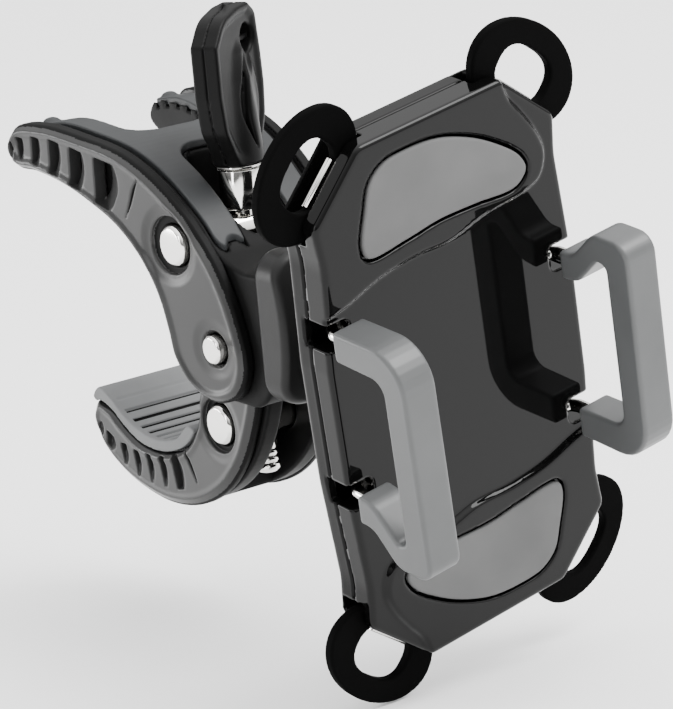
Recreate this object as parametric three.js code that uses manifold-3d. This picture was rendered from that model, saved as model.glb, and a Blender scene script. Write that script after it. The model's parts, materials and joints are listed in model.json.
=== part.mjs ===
// Phone handlebar mount: a scissor-jaw clamp, a ball joint with a square lock ring, and a spring-closed
// phone cradle with two looped grips and four elastic corner loops.
// Millimetres. X runs along the handlebar, +Y points from the phone towards the handlebar, +Z is up.
// The origin is the axis of the handlebar opening, midway across the jaws.

import * as THREE from 'three';
import { mergeVertices } from 'three/addons/utils/BufferGeometryUtils.js';
import Module from 'manifold-3d';

const wasm = await Module();
wasm.setup();

// ---- Driving dimensions ----

const GAP = 0.3;                                  // gap between fixed neighbours
const RUN = 0.08;                                 // radial clearance of turning and sliding fits

// clamp pivots, as [y, z]
const TRUNNION = [-25, 22];                       // barrel the knob pulls on
const PIVOT = [-36.3, 0];                         // hinge of the two jaws
const NUT = [-25, -21];                           // barrel nut in the lower jaw
const TRUNNION_R = 4.7;
const PIVOT_R = 3.3;
const BOLT_R = 3;

// jaw widths, measured at the trunnion
const COVER_OUT = 20.5;
const COVER_IN = 17;
const CORE_HALF = 16.7;
const WALL_IN = 13.4;
const PLATE_HALF = 15.2;
const LOWER_OUT = 12.9;
const LOWER_COVER_IN = 10;
const LOWER_CORE = 9.7;
const SLOT_HALF = 7.2;
const FLARE = 0.0051;                             // widening of the upper jaw per mm towards its tips

// knob
const KNOB_WIDTH = 25.2;
const KNOB_THICK = 6.4;
const KNOB_BOTTOM = 37.4;
const KNOB_TOP = 72.4;
const KNOB_TURN = 0.55;                           // rad, how the wing stands at rest

// ball joint
const BALL = [0, -56.2, 6.5];
const BALL_R = 8.5;
const BALL_PLAY = 0.2;
const CUP_R = 10.1;
const BOSS_R = 14;
const RING_SIZE = 34;
const RING_BACK = -51.2;
const RING_FRONT = -62.2;
const CRADLE_TILT = [0.150, -0.175, 0.037];       // rad, XYZ turn of the cradle about the ball

// cradle, in its own frame: x across, y from the phone to the ball, z along the phone, ball at 0
const FRONT = -44;
const REAR = -32;
const SPLIT = -37;
const HALF_H = 60;
const HALF_W = 32.9;
const TOP_HALF = 19.2;
const SIDE_HALF = 46.9;
const PANEL_DROP = 1.2;
const PAD_THICK = 1.8;

// grips
const GRIP_IN = 26.2;
const GRIP_OUT = 34.6;
const ROD_X = 30.4;
const ROD_Y = -39.6;
const ROD_R = 1.5;
const ROD_HIGH = 22;
const ROD_LOW = -15;
const PITCH_R = 6;
const TEETH = 12;
const CARRIAGE_OUT = -14.8;                       // outer side of the left carriage, closed

// corner loops
const LOOP_LONG = 15.2;
const LOOP_SHORT = 11;
const LOOP_OFFSET = 4;
const LOOP_THICK = 2.4;
const LOOP_Y = -38.2;

// ---- Materials ----

const material = (color, roughness, metalness = 0) =>
  new THREE.MeshStandardMaterial({ color, roughness, metalness });
const coverGrey = material(0x4e4f51, 0.42);
const coreBlack = material(0x151516, 0.62);
const plateGrey = material(0x54585b, 0.5);
const padGrey = material(0x7d8284, 0.75);
const nickel = material(0xc9c6bd, 0.16, 1);
const knobBlack = material(0x242425, 0.6);
const shellBlack = material(0x1b1b1c, 0.42);
const glossBlack = material(0x08080a, 0.08);
const phonePadGrey = material(0x8f8f8f, 0.85);
const gripGrey = material(0x8b9092, 0.48);
const loopBlack = material(0x141414, 0.7);
const nylon = material(0xb9b6ab, 0.5);
const darkSteel = material(0x55565a, 0.35, 1);

// ---- Solids ----

function solidOf(geometry) {
  const bare = geometry.clone();
  bare.deleteAttribute('normal');
  bare.deleteAttribute('uv');
  const merged = mergeVertices(bare, 1e-4);
  return new wasm.Manifold(new wasm.Mesh({
    numProp: 3,
    vertProperties: new Float32Array(merged.attributes.position.array),
    triVerts: new Uint32Array(merged.index.array),
  }));
}

function geometryOf(solid) {
  const mesh = solid.getMesh();
  const geometry = new THREE.BufferGeometry();
  geometry.setAttribute('position', new THREE.Float32BufferAttribute(mesh.vertProperties, 3));
  geometry.setIndex(Array.from(mesh.triVerts));
  geometry.computeVertexNormals();
  return geometry;
}

// smooth closed outline through a few points
function splineShape(points, samples) {
  const through = points.map(([a, b]) => new THREE.Vector3(a, b, 0));
  const curve = new THREE.CatmullRomCurve3(through, true, 'centripetal');
  return new THREE.Shape(curve.getSpacedPoints(samples).slice(0, -1).map((p) => new THREE.Vector2(p.x, p.y)));
}

// polygon whose corners are rounded by the third number of each point
function roundedShape(corners, arcSteps = 3) {
  const points = [];
  corners.forEach(([x, y, radius = 0], i) => {
    const here = new THREE.Vector2(x, y);
    if (!radius) {
      points.push(here);
      return;
    }
    const before = new THREE.Vector2(...corners.at(i - 1)).sub(here).normalize();
    const after = new THREE.Vector2(...corners[(i + 1) % corners.length]).sub(here).normalize();
    const half = Math.acos(THREE.MathUtils.clamp(before.dot(after), -1, 1)) / 2;
    const reach = radius / Math.tan(half);
    const start = here.clone().addScaledVector(before, reach);
    const end = here.clone().addScaledVector(after, reach);
    const centre = here.clone()
      .addScaledVector(before.clone().add(after).normalize(), radius / Math.sin(half));
    const from = Math.atan2(start.y - centre.y, start.x - centre.x);
    let turn = Math.atan2(end.y - centre.y, end.x - centre.x) - from;
    turn = Math.atan2(Math.sin(turn), Math.cos(turn));
    for (let k = 0; k <= arcSteps; k += 1) {
      const angle = from + turn * k / arcSteps;
      points.push(new THREE.Vector2(
        centre.x + radius * Math.cos(angle), centre.y + radius * Math.sin(angle),
      ));
    }
  });
  return new THREE.Shape(points);
}

const rectangle = (x0, y0, x1, y1, radius = 0) => roundedShape(
  [[x0, y0, radius], [x1, y0, radius], [x1, y1, radius], [x0, y1, radius]], 3);

function circleShape(radius, x = 0, y = 0, segments = 20) {
  const points = [];
  for (let i = 0; i < segments; i += 1) {
    const angle = 2 * Math.PI * (i + 0.5) / segments;
    points.push(new THREE.Vector2(x + radius * Math.cos(angle), y + radius * Math.sin(angle)));
  }
  return new THREE.Shape(points);
}

// an outline pushed from one level to another along an axis, with an optional chamfer round both ends
function prism(shape, from, to, basis, bevel = 0) {
  const geometry = new THREE.ExtrudeGeometry(shape, {
    depth: to - from - 2 * bevel,
    bevelEnabled: bevel > 0,
    bevelThickness: bevel,
    bevelSize: bevel,
    bevelOffset: -bevel,
    bevelSegments: 1,
    curveSegments: 8,
  });
  geometry.translate(0, 0, from + bevel);
  geometry.applyMatrix4(basis);
  return solidOf(geometry);
}

const X = new THREE.Vector3(1, 0, 0);
const Y = new THREE.Vector3(0, 1, 0);
const Z = new THREE.Vector3(0, 0, 1);
const ALONG_X = new THREE.Matrix4().makeBasis(Y, Z, X);
const ALONG_Y = new THREE.Matrix4().makeBasis(Z, X, Y);
const ALONG_Z = new THREE.Matrix4();

const prismX = (shape, from, to, bevel) => prism(shape, from, to, ALONG_X, bevel);   // outline in y, z
const prismY = (shape, from, to, bevel) => prism(shape, from, to, ALONG_Y, bevel);   // outline in z, x
const prismZ = (shape, from, to, bevel) => prism(shape, from, to, ALONG_Z, bevel);   // outline in x, y
const barX = (radius, from, to, [y, z], bevel = 0) => prismX(circleShape(radius, y, z), from, to, bevel);
const barY = (radius, from, to, x, z, segments = 20) => prismY(circleShape(radius, z, x, segments), from, to);
const barZ = (radius, from, to, x, y, bevel = 0) => prismZ(circleShape(radius, x, y), from, to, bevel);
const block = (x0, y0, z0, x1, y1, z1) => prismZ(rectangle(x0, y0, x1, y1), z0, z1);

const join = (...solids) => solids.reduce((sum, solid) => sum.add(solid));
const cut = (solid, ...tools) => tools.reduce((left, tool) => left.subtract(tool), solid);

// profile points [radius, height] put in the order that turns into a solid facing outwards
function latheOf(profile, segments) {
  const area = profile.reduce((sum, [r, h], i) => {
    const [nextR, nextH] = profile[(i + 1) % profile.length];
    return sum + r * nextH - nextR * h;
  }, 0);
  const ordered = area < 0 ? [...profile].reverse() : profile;
  return new THREE.LatheGeometry(ordered.map(([r, h]) => new THREE.Vector2(r, h)), segments);
}

// turned about the upright line through (x, y)
function turnedZ(profile, x, y, segments = 20) {
  return solidOf(latheOf(profile, segments).rotateX(Math.PI / 2).translate(x, y, 0));
}

// turned about the line along y through (x, z)
function turnedY(profile, x, z, segments = 20) {
  return solidOf(latheOf(profile, segments).translate(x, 0, z));
}

function tube(points, radius, steps, segments = 10) {
  const curve = new THREE.CatmullRomCurve3(points, false, 'centripetal');
  return new THREE.ExtrudeGeometry(circleShape(radius, 0, 0, segments), {
    steps,
    extrudePath: curve,
    bevelEnabled: false,
  });
}

function coil(radius, wire, turns, length, steps) {
  const points = [];
  const count = turns * 8;
  for (let i = 0; i <= count; i += 1) {
    const angle = 2 * Math.PI * i / 8;
    points.push(new THREE.Vector3(radius * Math.cos(angle), radius * Math.sin(angle), length * i / count));
  }
  return tube(points, wire, steps, 4);
}

// the upper jaw widens evenly towards its tips
const flare = (solid) => solid.warp((vertex) => {
  vertex[0] *= 1 + FLARE * (vertex[1] - TRUNNION[0]);
});

const mount = new THREE.Group();
mount.name = 'phone_handlebar_mount';
let place = mount;

function addPart(name, shape, look) {
  const mesh = new THREE.Mesh(shape.isBufferGeometry ? shape : geometryOf(shape), look);
  mesh.name = name;
  place.add(mesh);
}

// ---- Upper jaw ----

const upperOutline = [
  [31.6, 38.8], [28.4, 43.8], [18, 45.2], [4.5, 43.8], [-9, 41.4], [-20.5, 36.2], [-31, 28.2],
  [-39.5, 17.8], [-44.5, 6], [-46, -3], [-42.6, -9.8], [-35, -12.6], [-27, -10.2], [-22, -4],
  [-20.4, 2.5], [-18, 10.2], [-13, 17.8], [-6, 23.9], [3, 28.4], [12, 31.8], [22, 34], [28.8, 34.6],
];
const coreOutline = [
  [30.2, 38.8], [27.2, 43], [16.5, 44.2], [4.5, 43], [-8.5, 40.6], [-20, 35.4], [-30.5, 27.4],
  [-37, 20.6], [-44, 17.6], [-50.4, 16.6], [-50.6, 6], [-50.6, -8], [-46.5, -12.4], [-39, -12.6],
  [-31, -11.8], [-25.5, -8.4], [-22, -2.5], [-20.8, 3], [-18, 11.5], [-12, 20.2], [-4, 26.4], [6, 31],
  [16, 34.2], [26, 36],
];

const jawGap = prismZ(roundedShape([[-9, -1.8, 6], [9, -1.8, 6], [11.5, 60], [-11.5, 60]]), 0, 60);
const boltSlot = prismZ(rectangle(-SLOT_HALF, -34.5, SLOT_HALF, -11.3, 5.5), -20, 60);

// slot, gap and working room for the lower jaw
const earRoom = prismX(roundedShape([
  [-46.9, 9.6, 9], [-26, 9.6, 3], [-10, 6], [-10, -30], [-46.9, -30],
]), -WALL_IN, WALL_IN);

const padBed = (drop) => prismX(splineShape([
  [40, 30 + drop], [30, 36.8 + drop], [16, 35.4 + drop], [6, 32.4 + drop], [-4, 28 + drop],
  [-12.4, 21.6 + drop], [-18.8, 12.6 + drop], [-21.8, 3 + drop], [-24, -8], [-10, -20], [20, -10],
  [40, 10],
], 30), -30, 30);

const upperBody = prismX(splineShape(coreOutline, 48), -CORE_HALF, CORE_HALF);
const boss = turnedY([
  [0, -46.9], [BOSS_R, -46.9], [BOSS_R, -57], [BOSS_R - 0.6, -57.6], [0, -57.6],
], BALL[0], BALL[2]);
const sphereAt = (radius, segments = 20) => turnedY(
  Array.from({ length: 13 }, (_, i) => {
    const angle = Math.PI * (i / 12 - 0.5);
    return [i % 12 ? radius * Math.cos(angle) : 0, BALL[1] + radius * Math.sin(angle)];
  }), BALL[0], BALL[2], segments);

// the rubber lining fills the inside curve of the two arms
const liningShape = splineShape([
  [26.8, 35.2], [20, 34.9], [12, 33], [3, 29.6], [-6, 25], [-12.6, 19.2], [-17.2, 12.6],
  [-15.2, 11.6], [-10.2, 17.4], [-3.4, 22.3], [4.4, 26.2], [12.6, 29.6], [21, 32], [26.6, 33],
], 36);
const liningRoom = prismX(splineShape([
  [27.4, 35.6], [20, 35.3], [12, 33.4], [3, 30], [-6.2, 25.4], [-13, 19.4], [-17.8, 12.8],
  [-15.4, 8.6], [-8, 12], [-3.4, 18.3], [4.4, 22.2], [12.6, 24.6], [21, 26], [27.6, 28],
], 30), -CORE_HALF - 1, CORE_HALF + 1);

// top plate seen from above: a wishbone with a concave notch at the end of each front branch
function plateOutline(grow) {
  const edge = PLATE_HALF + grow;
  const inner = SLOT_HALF + 0.5 - grow;
  const tip = 9.6 - grow;
  return cut(
    prismZ(rectangle(-edge, -36.4 - grow, edge, 27.4 + grow, 3), 0, 60),
    prismZ(rectangle(-inner, -60, inner, -10.8 - grow, 5.5), -1, 61),
    prismZ(roundedShape([
      [-tip, -1.2 + grow, 6], [tip, -1.2 + grow, 6], [tip + 2.4, 60], [-tip - 2.4, 60],
    ]), -1, 61),
    barZ(3 - grow, -1, 61, 10.6, -37.4),
    barZ(3 - grow, -1, 61, -10.6, -37.4),
  );
}
// layer that follows the top line of the jaw, between two heights over it
const topLine = new THREE.SplineCurve([
  [34, 42.4], [26, 43], [16.5, 44.4], [4.5, 43.2], [-8.5, 40.8], [-20, 35.6], [-30.5, 27.6],
  [-36.9, 20.8], [-44, 17.4],
].map(([y, z]) => new THREE.Vector2(y, z))).getSpacedPoints(30);
const topLayer = (low, high) => prismX(new THREE.Shape([
  ...topLine.map((p) => new THREE.Vector2(p.x, p.y + high)),
  ...topLine.map((p) => new THREE.Vector2(p.x, p.y + low)).reverse(),
]), -30, 30);

const plateBody = plateOutline(0).intersect(topLayer(-1.2, 0.7));
const plateBed = plateOutline(GAP).intersect(topLayer(-1.5, 8));

const core = cut(
  flare(cut(upperBody, jawGap, boltSlot, plateBed, liningRoom.intersect(padBed(-1.2)))).add(boss),
  earRoom,
  boltSlot,
  barX(TRUNNION_R + RUN, -30, 30, TRUNNION),
  barX(PIVOT_R + RUN, -30, 30, PIVOT),
  sphereAt(CUP_R + RUN),
  turnedY([[0, BALL[1]], [CUP_R + RUN, BALL[1]], [CUP_R + RUN, -62], [0, -62]], BALL[0], BALL[2]),
);
addPart('upper_core', core, coreBlack);

addPart('jaw_top_plate', flare(plateBody), plateGrey);

const lining = cut(flare(cut(prismX(liningShape, -CORE_HALF + 0.3, CORE_HALF - 0.3), jawGap)), core);
addPart('upper_lining', lining, padGrey);

// side covers with a raised rim, six tapering windows, a slit and three recesses
function coverSolid(side) {
  const outer = prismX(splineShape(upperOutline, 44), COVER_IN, COVER_OUT, 0.5);
  const tools = [
    barX(TRUNNION_R + GAP, 10, 30, TRUNNION),
    barX(TRUNNION_R + 2, COVER_OUT - 1.4, 30, [TRUNNION[0] + 0.9, TRUNNION[1]]),
    barX(PIVOT_R + GAP, 10, 30, PIVOT),
    barX(PIVOT_R + 1, COVER_OUT - 1.2, 30, PIVOT),
  ];
  for (let i = 0; i < 6; i += 1) {
    const along = i / 5;
    const y = 24.6 - 27.6 * Math.pow(along, 1.12);
    const z = 39.4 - 7.4 * along * along;
    const halfHeight = 1.3 + 2.6 * along;
    const halfWidth = 0.7 + 2 * along * along;
    const lean = 0.12 - 0.1 * along;
    const window = roundedShape([
      [y + halfWidth + lean * halfHeight, z + halfHeight],
      [y - halfWidth + lean * halfHeight, z + halfHeight],
      [y - halfWidth - lean * halfHeight, z - halfHeight],
      [y + halfWidth - lean * halfHeight, z - halfHeight],
    ]);
    tools.push(prismX(window, COVER_OUT - 1.8, 30));
  }
  const solid = cut(outer, ...tools);
  return side > 0 ? solid : solid.mirror([1, 0, 0]);
}
addPart('upper_cover_left', flare(coverSolid(-1)), coverGrey);
addPart('upper_cover_right', flare(coverSolid(1)), coverGrey);

// hinge pin with domed ends
addPart('jaw_pivot_pin', barX(PIVOT_R, -19.9, 19.9, PIVOT, 0.5), nickel);

// ---- Trunnion, sleeve, bolt and knob ----

const trunnion = cut(
  barX(TRUNNION_R, -20.2, 20.2, TRUNNION, 0.7),
  barZ(BOLT_R + RUN, 10, 40, 0, TRUNNION[0]),
);
addPart('upper_trunnion', trunnion, nickel);
const washer = (inner, outer, low, high) => turnedZ([
  [inner, low], [outer - 0.2, low], [outer, low + 0.2],
  [outer, high - 0.2], [outer - 0.2, high], [inner, high], [inner, low],
], 0, TRUNNION[0]);
const SLEEVE_LOW = TRUNNION[1] + TRUNNION_R + GAP;
addPart('knob_sleeve', washer(BOLT_R + RUN, 4.9, SLEEVE_LOW, KNOB_BOTTOM - 1.4), nickel);
addPart('knob_washer', washer(BOLT_R + RUN, 5.6, KNOB_BOTTOM - 1.1, KNOB_BOTTOM - GAP), nickel);

// the thread shows as fine grooves below the trunnion
const boltProfile = [[0, -34.5], [BOLT_R - 0.8, -34.5], [BOLT_R, -33.6]];
for (let z = -32.6; z < -28; z += 1.6) {
  boltProfile.push([BOLT_R, z], [BOLT_R - 0.4, z + 0.5], [BOLT_R, z + 1]);
}
boltProfile.push([BOLT_R, 56], [BOLT_R - 0.6, 57], [0, 57]);
addPart('clamp_bolt', turnedZ(boltProfile, 0, TRUNNION[0]), nickel);

const half = KNOB_WIDTH / 2;
const wing = prismY(roundedShape([
  [KNOB_BOTTOM, -5.4, 1.6], [KNOB_BOTTOM + 12.6, -half, 5], [KNOB_TOP - 2.4, -half, 7], [KNOB_TOP, 0, 20],
  [KNOB_TOP - 2.4, half, 7], [KNOB_BOTTOM + 12.6, half, 5], [KNOB_BOTTOM, 5.4, 1.6],
]), -KNOB_THICK / 2, KNOB_THICK / 2, 1);
const hub = turnedZ([
  [0, KNOB_BOTTOM], [5.8, KNOB_BOTTOM], [6.2, KNOB_BOTTOM + 0.6], [5.6, KNOB_BOTTOM + 6], [4.6, 56],
  [2.6, 64], [0, 66.5],
], 0, 0, 24);
const lanyardEye = prismY(circleShape(4, 65, -6.2, 16), -6, 6);
const crossbar = prismY(rectangle(60, -6.9, 70, -5.5), -1.1, 1.1);
const knob = cut(
  join(wing, hub).subtract(lanyardEye).add(crossbar),
  barZ(BOLT_R + RUN, 0, 57.4, 0, 0),
);
const knobGeometry = geometryOf(knob);
knobGeometry.rotateZ(KNOB_TURN);
knobGeometry.translate(0, TRUNNION[0], 0);
addPart('clamp_knob', knobGeometry, knobBlack);

// ---- Opening spring round the bolt ----

const openingSpring = coil(4.2, 0.5, 5, 31, 40);
openingSpring.translate(0, TRUNNION[0], -15.4);
addPart('opening_spring', openingSpring, darkSteel);

// ---- Lower jaw ----

const lowerCoreOutline = [
  [27.6, -27.4], [25.2, -33.2], [18.5, -38.4], [8, -42], [-3, -43.2], [-14, -41.4], [-25, -36.4],
  [-34, -28.6], [-40.4, -18], [-43.6, -7], [-43.6, 3], [-37, 8.2], [-30, 4.6], [-27.4, -2], [-24, -9],
  [-18.6, -15.6], [-16.4, -23], [-12.6, -27.9], [-6, -31], [1, -32.2], [8.6, -31.4], [15, -28.6],
  [20, -25.4], [24.6, -24.2],
];
const lowerCoverOutline = [
  [28.2, -27.4], [25.6, -34], [18.8, -39.2], [8, -42.8], [-3, -43.9], [-14, -42], [-24.6, -36.8],
  [-32.4, -29.4], [-38, -20], [-41, -12], [-41.5, -2], [-36.5, 2.8], [-31, 1], [-27, -4.5],
  [-22.5, -10], [-17.6, -15.4], [-15.6, -22.6], [-11.6, -27.4], [-5.4, -30.4], [1, -31.5],
  [8.6, -30.8], [15, -27.8], [20, -24.6], [25.4, -23.6],
];
const lowerPadOutline = [
  [27.2, -23.2], [24.4, -20.4], [19.6, -22.3], [14.6, -25.6], [8.4, -28.1], [0.6, -29], [-7, -27.3],
  [-12.2, -23.4], [-14.6, -24.4], [-11.6, -28.4], [-5.4, -31.2], [1, -32.3], [8.6, -31.6], [15, -28.8],
  [20, -25.6], [25, -24.4],
];
const lowerBody = prismX(splineShape(lowerCoreOutline, 48), -LOWER_CORE, LOWER_CORE, 0.4);
const nutSlot = prismX(roundedShape([
  [-60, -50], [-17.6, -50], [-17.6, -3.5, 4], [-33, 12], [-60, 12],
]), -5.6, 5.6);
const lowerCore = cut(
  lowerBody,
  nutSlot,
  barX(TRUNNION_R + RUN, -20, 20, NUT),
  barX(PIVOT_R + RUN, -20, 20, PIVOT),
  prismX(splineShape(lowerPadOutline.map(([y, z]) => [y, z + 0.1]), 48), -20, 20),
);
addPart('lower_core', lowerCore, coreBlack);

const RIBS = 11;
let ribbedPad = prismX(splineShape(lowerPadOutline, 56), -12.4, 12.4).subtract(lowerCore);
for (let i = 0; i < RIBS; i += 1) {
  const y = -9 + 3.05 * i;
  const z = -2.4 - Math.sqrt(26.4 ** 2 - (y - 2) ** 2) + 0.16 * Math.max(y - 14, 0);
  ribbedPad = ribbedPad.subtract(prismX(roundedShape([
    [y - 0.7, z + 1.6], [y - 0.35, z - 0.6], [y + 0.35, z - 0.6], [y + 0.7, z + 1.6],
  ]), -11, 11));
}
ribbedPad = ribbedPad.subtract(lowerBody);
addPart('lower_pad', ribbedPad, padGrey);

function lowerCoverSolid(side) {
  const outer = prismX(splineShape(lowerCoverOutline, 40), LOWER_COVER_IN, LOWER_OUT, 0.5);
  const tools = [
    barX(TRUNNION_R + GAP, 5, 20, NUT),
    barX(TRUNNION_R + 1.6, LOWER_OUT - 1.3, 20, NUT),
    prismX(circleShape(12.9, PIVOT[0], PIVOT[1], 28), LOWER_OUT - 4, 20)
      .intersect(block(0, -60, -3, 1, 60, 60)),
    barX(PIVOT_R + GAP, 5, 20, PIVOT),
  ];
  for (let i = 0; i < 8; i += 1) {
    const along = i / 7;
    const angle = THREE.MathUtils.degToRad(-24 - 88 * along);
    const radius = 35.2 + 1.2 * Math.sin(Math.PI * along);
    const y = 1.5 + radius * Math.cos(angle);
    const z = -2 + radius * Math.sin(angle);
    const length = 1.4 + 2.4 * Math.sin(Math.PI * (0.15 + 0.75 * along));
    const radial = new THREE.Vector2(Math.cos(angle), Math.sin(angle));
    const across = new THREE.Vector2(-radial.y, radial.x).multiplyScalar(0.75);
    const corner = (a, b) => [
      y + a * length * radial.x + b * across.x, z + a * length * radial.y + b * across.y,
    ];
    const scoop = roundedShape([corner(-1, -1), corner(1, -1), corner(1, 1), corner(-1, 1)]);
    tools.push(prismX(scoop, LOWER_OUT - 1.4, 20));
  }
  const solid = cut(outer, ...tools);
  return side > 0 ? solid : solid.mirror([1, 0, 0]);
}
addPart('lower_cover_left', cut(lowerCoverSolid(-1), ribbedPad), coverGrey);
addPart('lower_cover_right', cut(lowerCoverSolid(1), ribbedPad), coverGrey);

const barrelNut = cut(
  barX(TRUNNION_R, -12.6, 12.6, NUT, 0.7),
  barZ(BOLT_R + 0.25, -40, 10, 0, TRUNNION[0]),
);
addPart('barrel_nut', barrelNut, nickel);

// ---- Ball joint ----

function cupSolid(fromDeg, toDeg, inner, outer) {
  const at = (radius, degrees) => {
    const angle = THREE.MathUtils.degToRad(degrees);
    return [radius * Math.sin(angle), BALL[1] + radius * Math.cos(angle)];
  };
  const steps = 4;
  const profile = [];
  for (let i = 0; i <= steps; i += 1) {
    profile.push(at(outer, fromDeg + (toDeg - fromDeg) * i / steps));
  }
  for (let i = steps; i >= 0; i -= 1) {
    profile.push(at(inner, fromDeg + (toDeg - fromDeg) * i / steps));
  }
  profile.push(profile[0]);
  return turnedY(profile.map(([r, y]) => [Math.max(r, 0), y]).reverse(), BALL[0], BALL[2]);
}
addPart('ball_seat', cupSolid(12, 66, BALL_R + BALL_PLAY, CUP_R - 0.15), nylon);
addPart('ball_collar', cupSolid(100, 128, BALL_R + BALL_PLAY, CUP_R - 0.15), nylon);

// square ring with rounded corners, bored for the boss and coned for the neck
const ringHalf = RING_SIZE / 2;
const ringBody = prismY(roundedShape([
  [BALL[2] - ringHalf, -ringHalf, 6], [BALL[2] - ringHalf, ringHalf, 6],
  [BALL[2] + ringHalf, ringHalf, 6], [BALL[2] + ringHalf, -ringHalf, 6],
], 5), RING_FRONT, RING_BACK, 0.8);
const ringBore = turnedY([
  [0, -50], [BOSS_R + 0.25, -50], [BOSS_R + 0.25, -58], [CUP_R, -58], [8.2, -61.4], [9, -64], [0, -64],
], BALL[0], BALL[2]);
addPart('lock_ring', ringBody.subtract(ringBore).subtract(sphereAt(CUP_R + 0.2)), coreBlack);

// ---- Cradle, built in its own frame at the ball centre ----

const cradle = new THREE.Group();
cradle.name = 'cradle';
cradle.position.set(...BALL);
cradle.rotation.set(...CRADLE_TILT, 'XYZ');
mount.add(cradle);
place = cradle;

// neck, friction flange and journal turned with the ball in one piece
const BALL_STEPS = 9;
const stud = [[0, BALL_R]];
for (let i = 1; i <= BALL_STEPS; i += 1) {
  const angle = THREE.MathUtils.degToRad(156 * i / BALL_STEPS);
  stud.push([BALL_R * Math.sin(angle), BALL_R * Math.cos(angle)]);
}
stud.push([3.4, -12], [3.6, -17.6], [7, -18.6], [7, -21.2], [4, -21.2], [4, -34.8], [0, -34.8]);
const studSolid = cut(turnedY(stud.reverse(), 0, 0), barY(1.3, -36, -29, 0, 0));
addPart('ball_stud', studSolid, darkSteel);

const ringY = (inner, outer, low, high) => turnedY([
  [inner, high], [outer, high], [outer, low], [inner, low], [inner, high],
], 0, 0);
addPart('swivel_washer', ringY(4 + RUN, 8.6, -22.4, -21.5), nylon);
addPart('retaining_washer', ringY(1.6, 6.4, -36, -35.1), darkSteel);
addPart('swivel_screw', turnedY([
  [0, -29.6], [1.2, -29.6], [1.2, -36.3], [3, -36.3], [3, -37.6], [0, -37.6],
], 0, 0), nickel);

// outline of the shell seen from the front, in z, x; grow is negative for an inner wall
const cradleOutline = (grow) => {
  const h = HALF_H + grow;
  const w = HALF_W + grow;
  const slope = 0.41 * grow;
  const quarter = [[h, TOP_HALF + slope, 3], [SIDE_HALF + slope, w, 3], [38, w - 0.9], [14, w + 0.5]];
  return roundedShape([
    ...quarter,
    ...quarter.map(([z, x, r]) => [-z, x, r]).reverse(),
    ...quarter.map(([z, x, r]) => [-z, -x, r]),
    ...quarter.map(([z, x, r]) => [z, -x, r]).reverse(),
  ], 3);
};

// the two corner directions: along the chamfer and outwards from it
const CORNERS = { top_right: [1, 1], bottom_right: [1, -1], bottom_left: [-1, -1], top_left: [-1, 1] };
// in z, x, for the first corner
const CHAMFER = new THREE.Vector2(SIDE_HALF - HALF_H, HALF_W - TOP_HALF).normalize();
const OUTWARD = new THREE.Vector2(CHAMFER.y, -CHAMFER.x);
const CORNER_MID = new THREE.Vector2((HALF_H + SIDE_HALF) / 2, (TOP_HALF + HALF_W) / 2);
const cornerPoint = ([sx, sz], along, out) => {
  const z = CORNER_MID.x + CHAMFER.x * along + OUTWARD.x * out;
  const x = CORNER_MID.y + CHAMFER.y * along + OUTWARD.y * out;
  return [z * sz, x * sx];
};

function loopShape(corner, longHalf, shortHalf, flatInside, count) {
  const points = [];
  for (let i = 0; i < count; i += 1) {
    const angle = 2 * Math.PI * (i + 0.5) / count;
    const out = LOOP_OFFSET + shortHalf * Math.sin(angle);
    const power = out < LOOP_OFFSET ? flatInside : 1;
    const along = longHalf * Math.sign(Math.cos(angle)) * Math.abs(Math.cos(angle)) ** power;
    points.push(new THREE.Vector2(...cornerPoint(corner, along, out)));
  }
  if (corner[0] * corner[1] < 0) {
    points.reverse();
  }
  return new THREE.Shape(points);
}

// pocket that lets the loop lie in the corner and swing forward on its pin
function loopPocket(corner) {
  const tray = loopShape(corner, LOOP_LONG + 0.8, LOOP_SHORT + 0.8, 1, 16);
  return prismY(tray, LOOP_Y - LOOP_THICK / 2 - 0.4, REAR - 0.9);
}
const pockets = join(...Object.values(CORNERS).map(loopPocket));

// openings in the side walls for the rods, two a side
const rodPlaces = [[-1, ROD_HIGH], [-1, ROD_LOW], [1, -ROD_HIGH], [1, -ROD_LOW]];
const reach = (side, near, far) => [Math.min(side * near, side * far), Math.max(side * near, side * far)];
const rodPockets = join(...rodPlaces.map(([side, z]) => {
  const [left, right] = reach(side, 26.8, 40);
  return prismY(rectangle(z - 3, left, z + 3, right, 1.6), -50, -35.4);
}));
const rodSlots = join(...rodPlaces.map(([side, z]) => {
  const [left, right] = reach(side, 8, 29);
  const room = ROD_R + RUN;
  return block(left, ROD_Y - room, z - room, right, ROD_Y + room, z + room);
}));

// ---- Rear cover with the swivel hub ----

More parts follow.
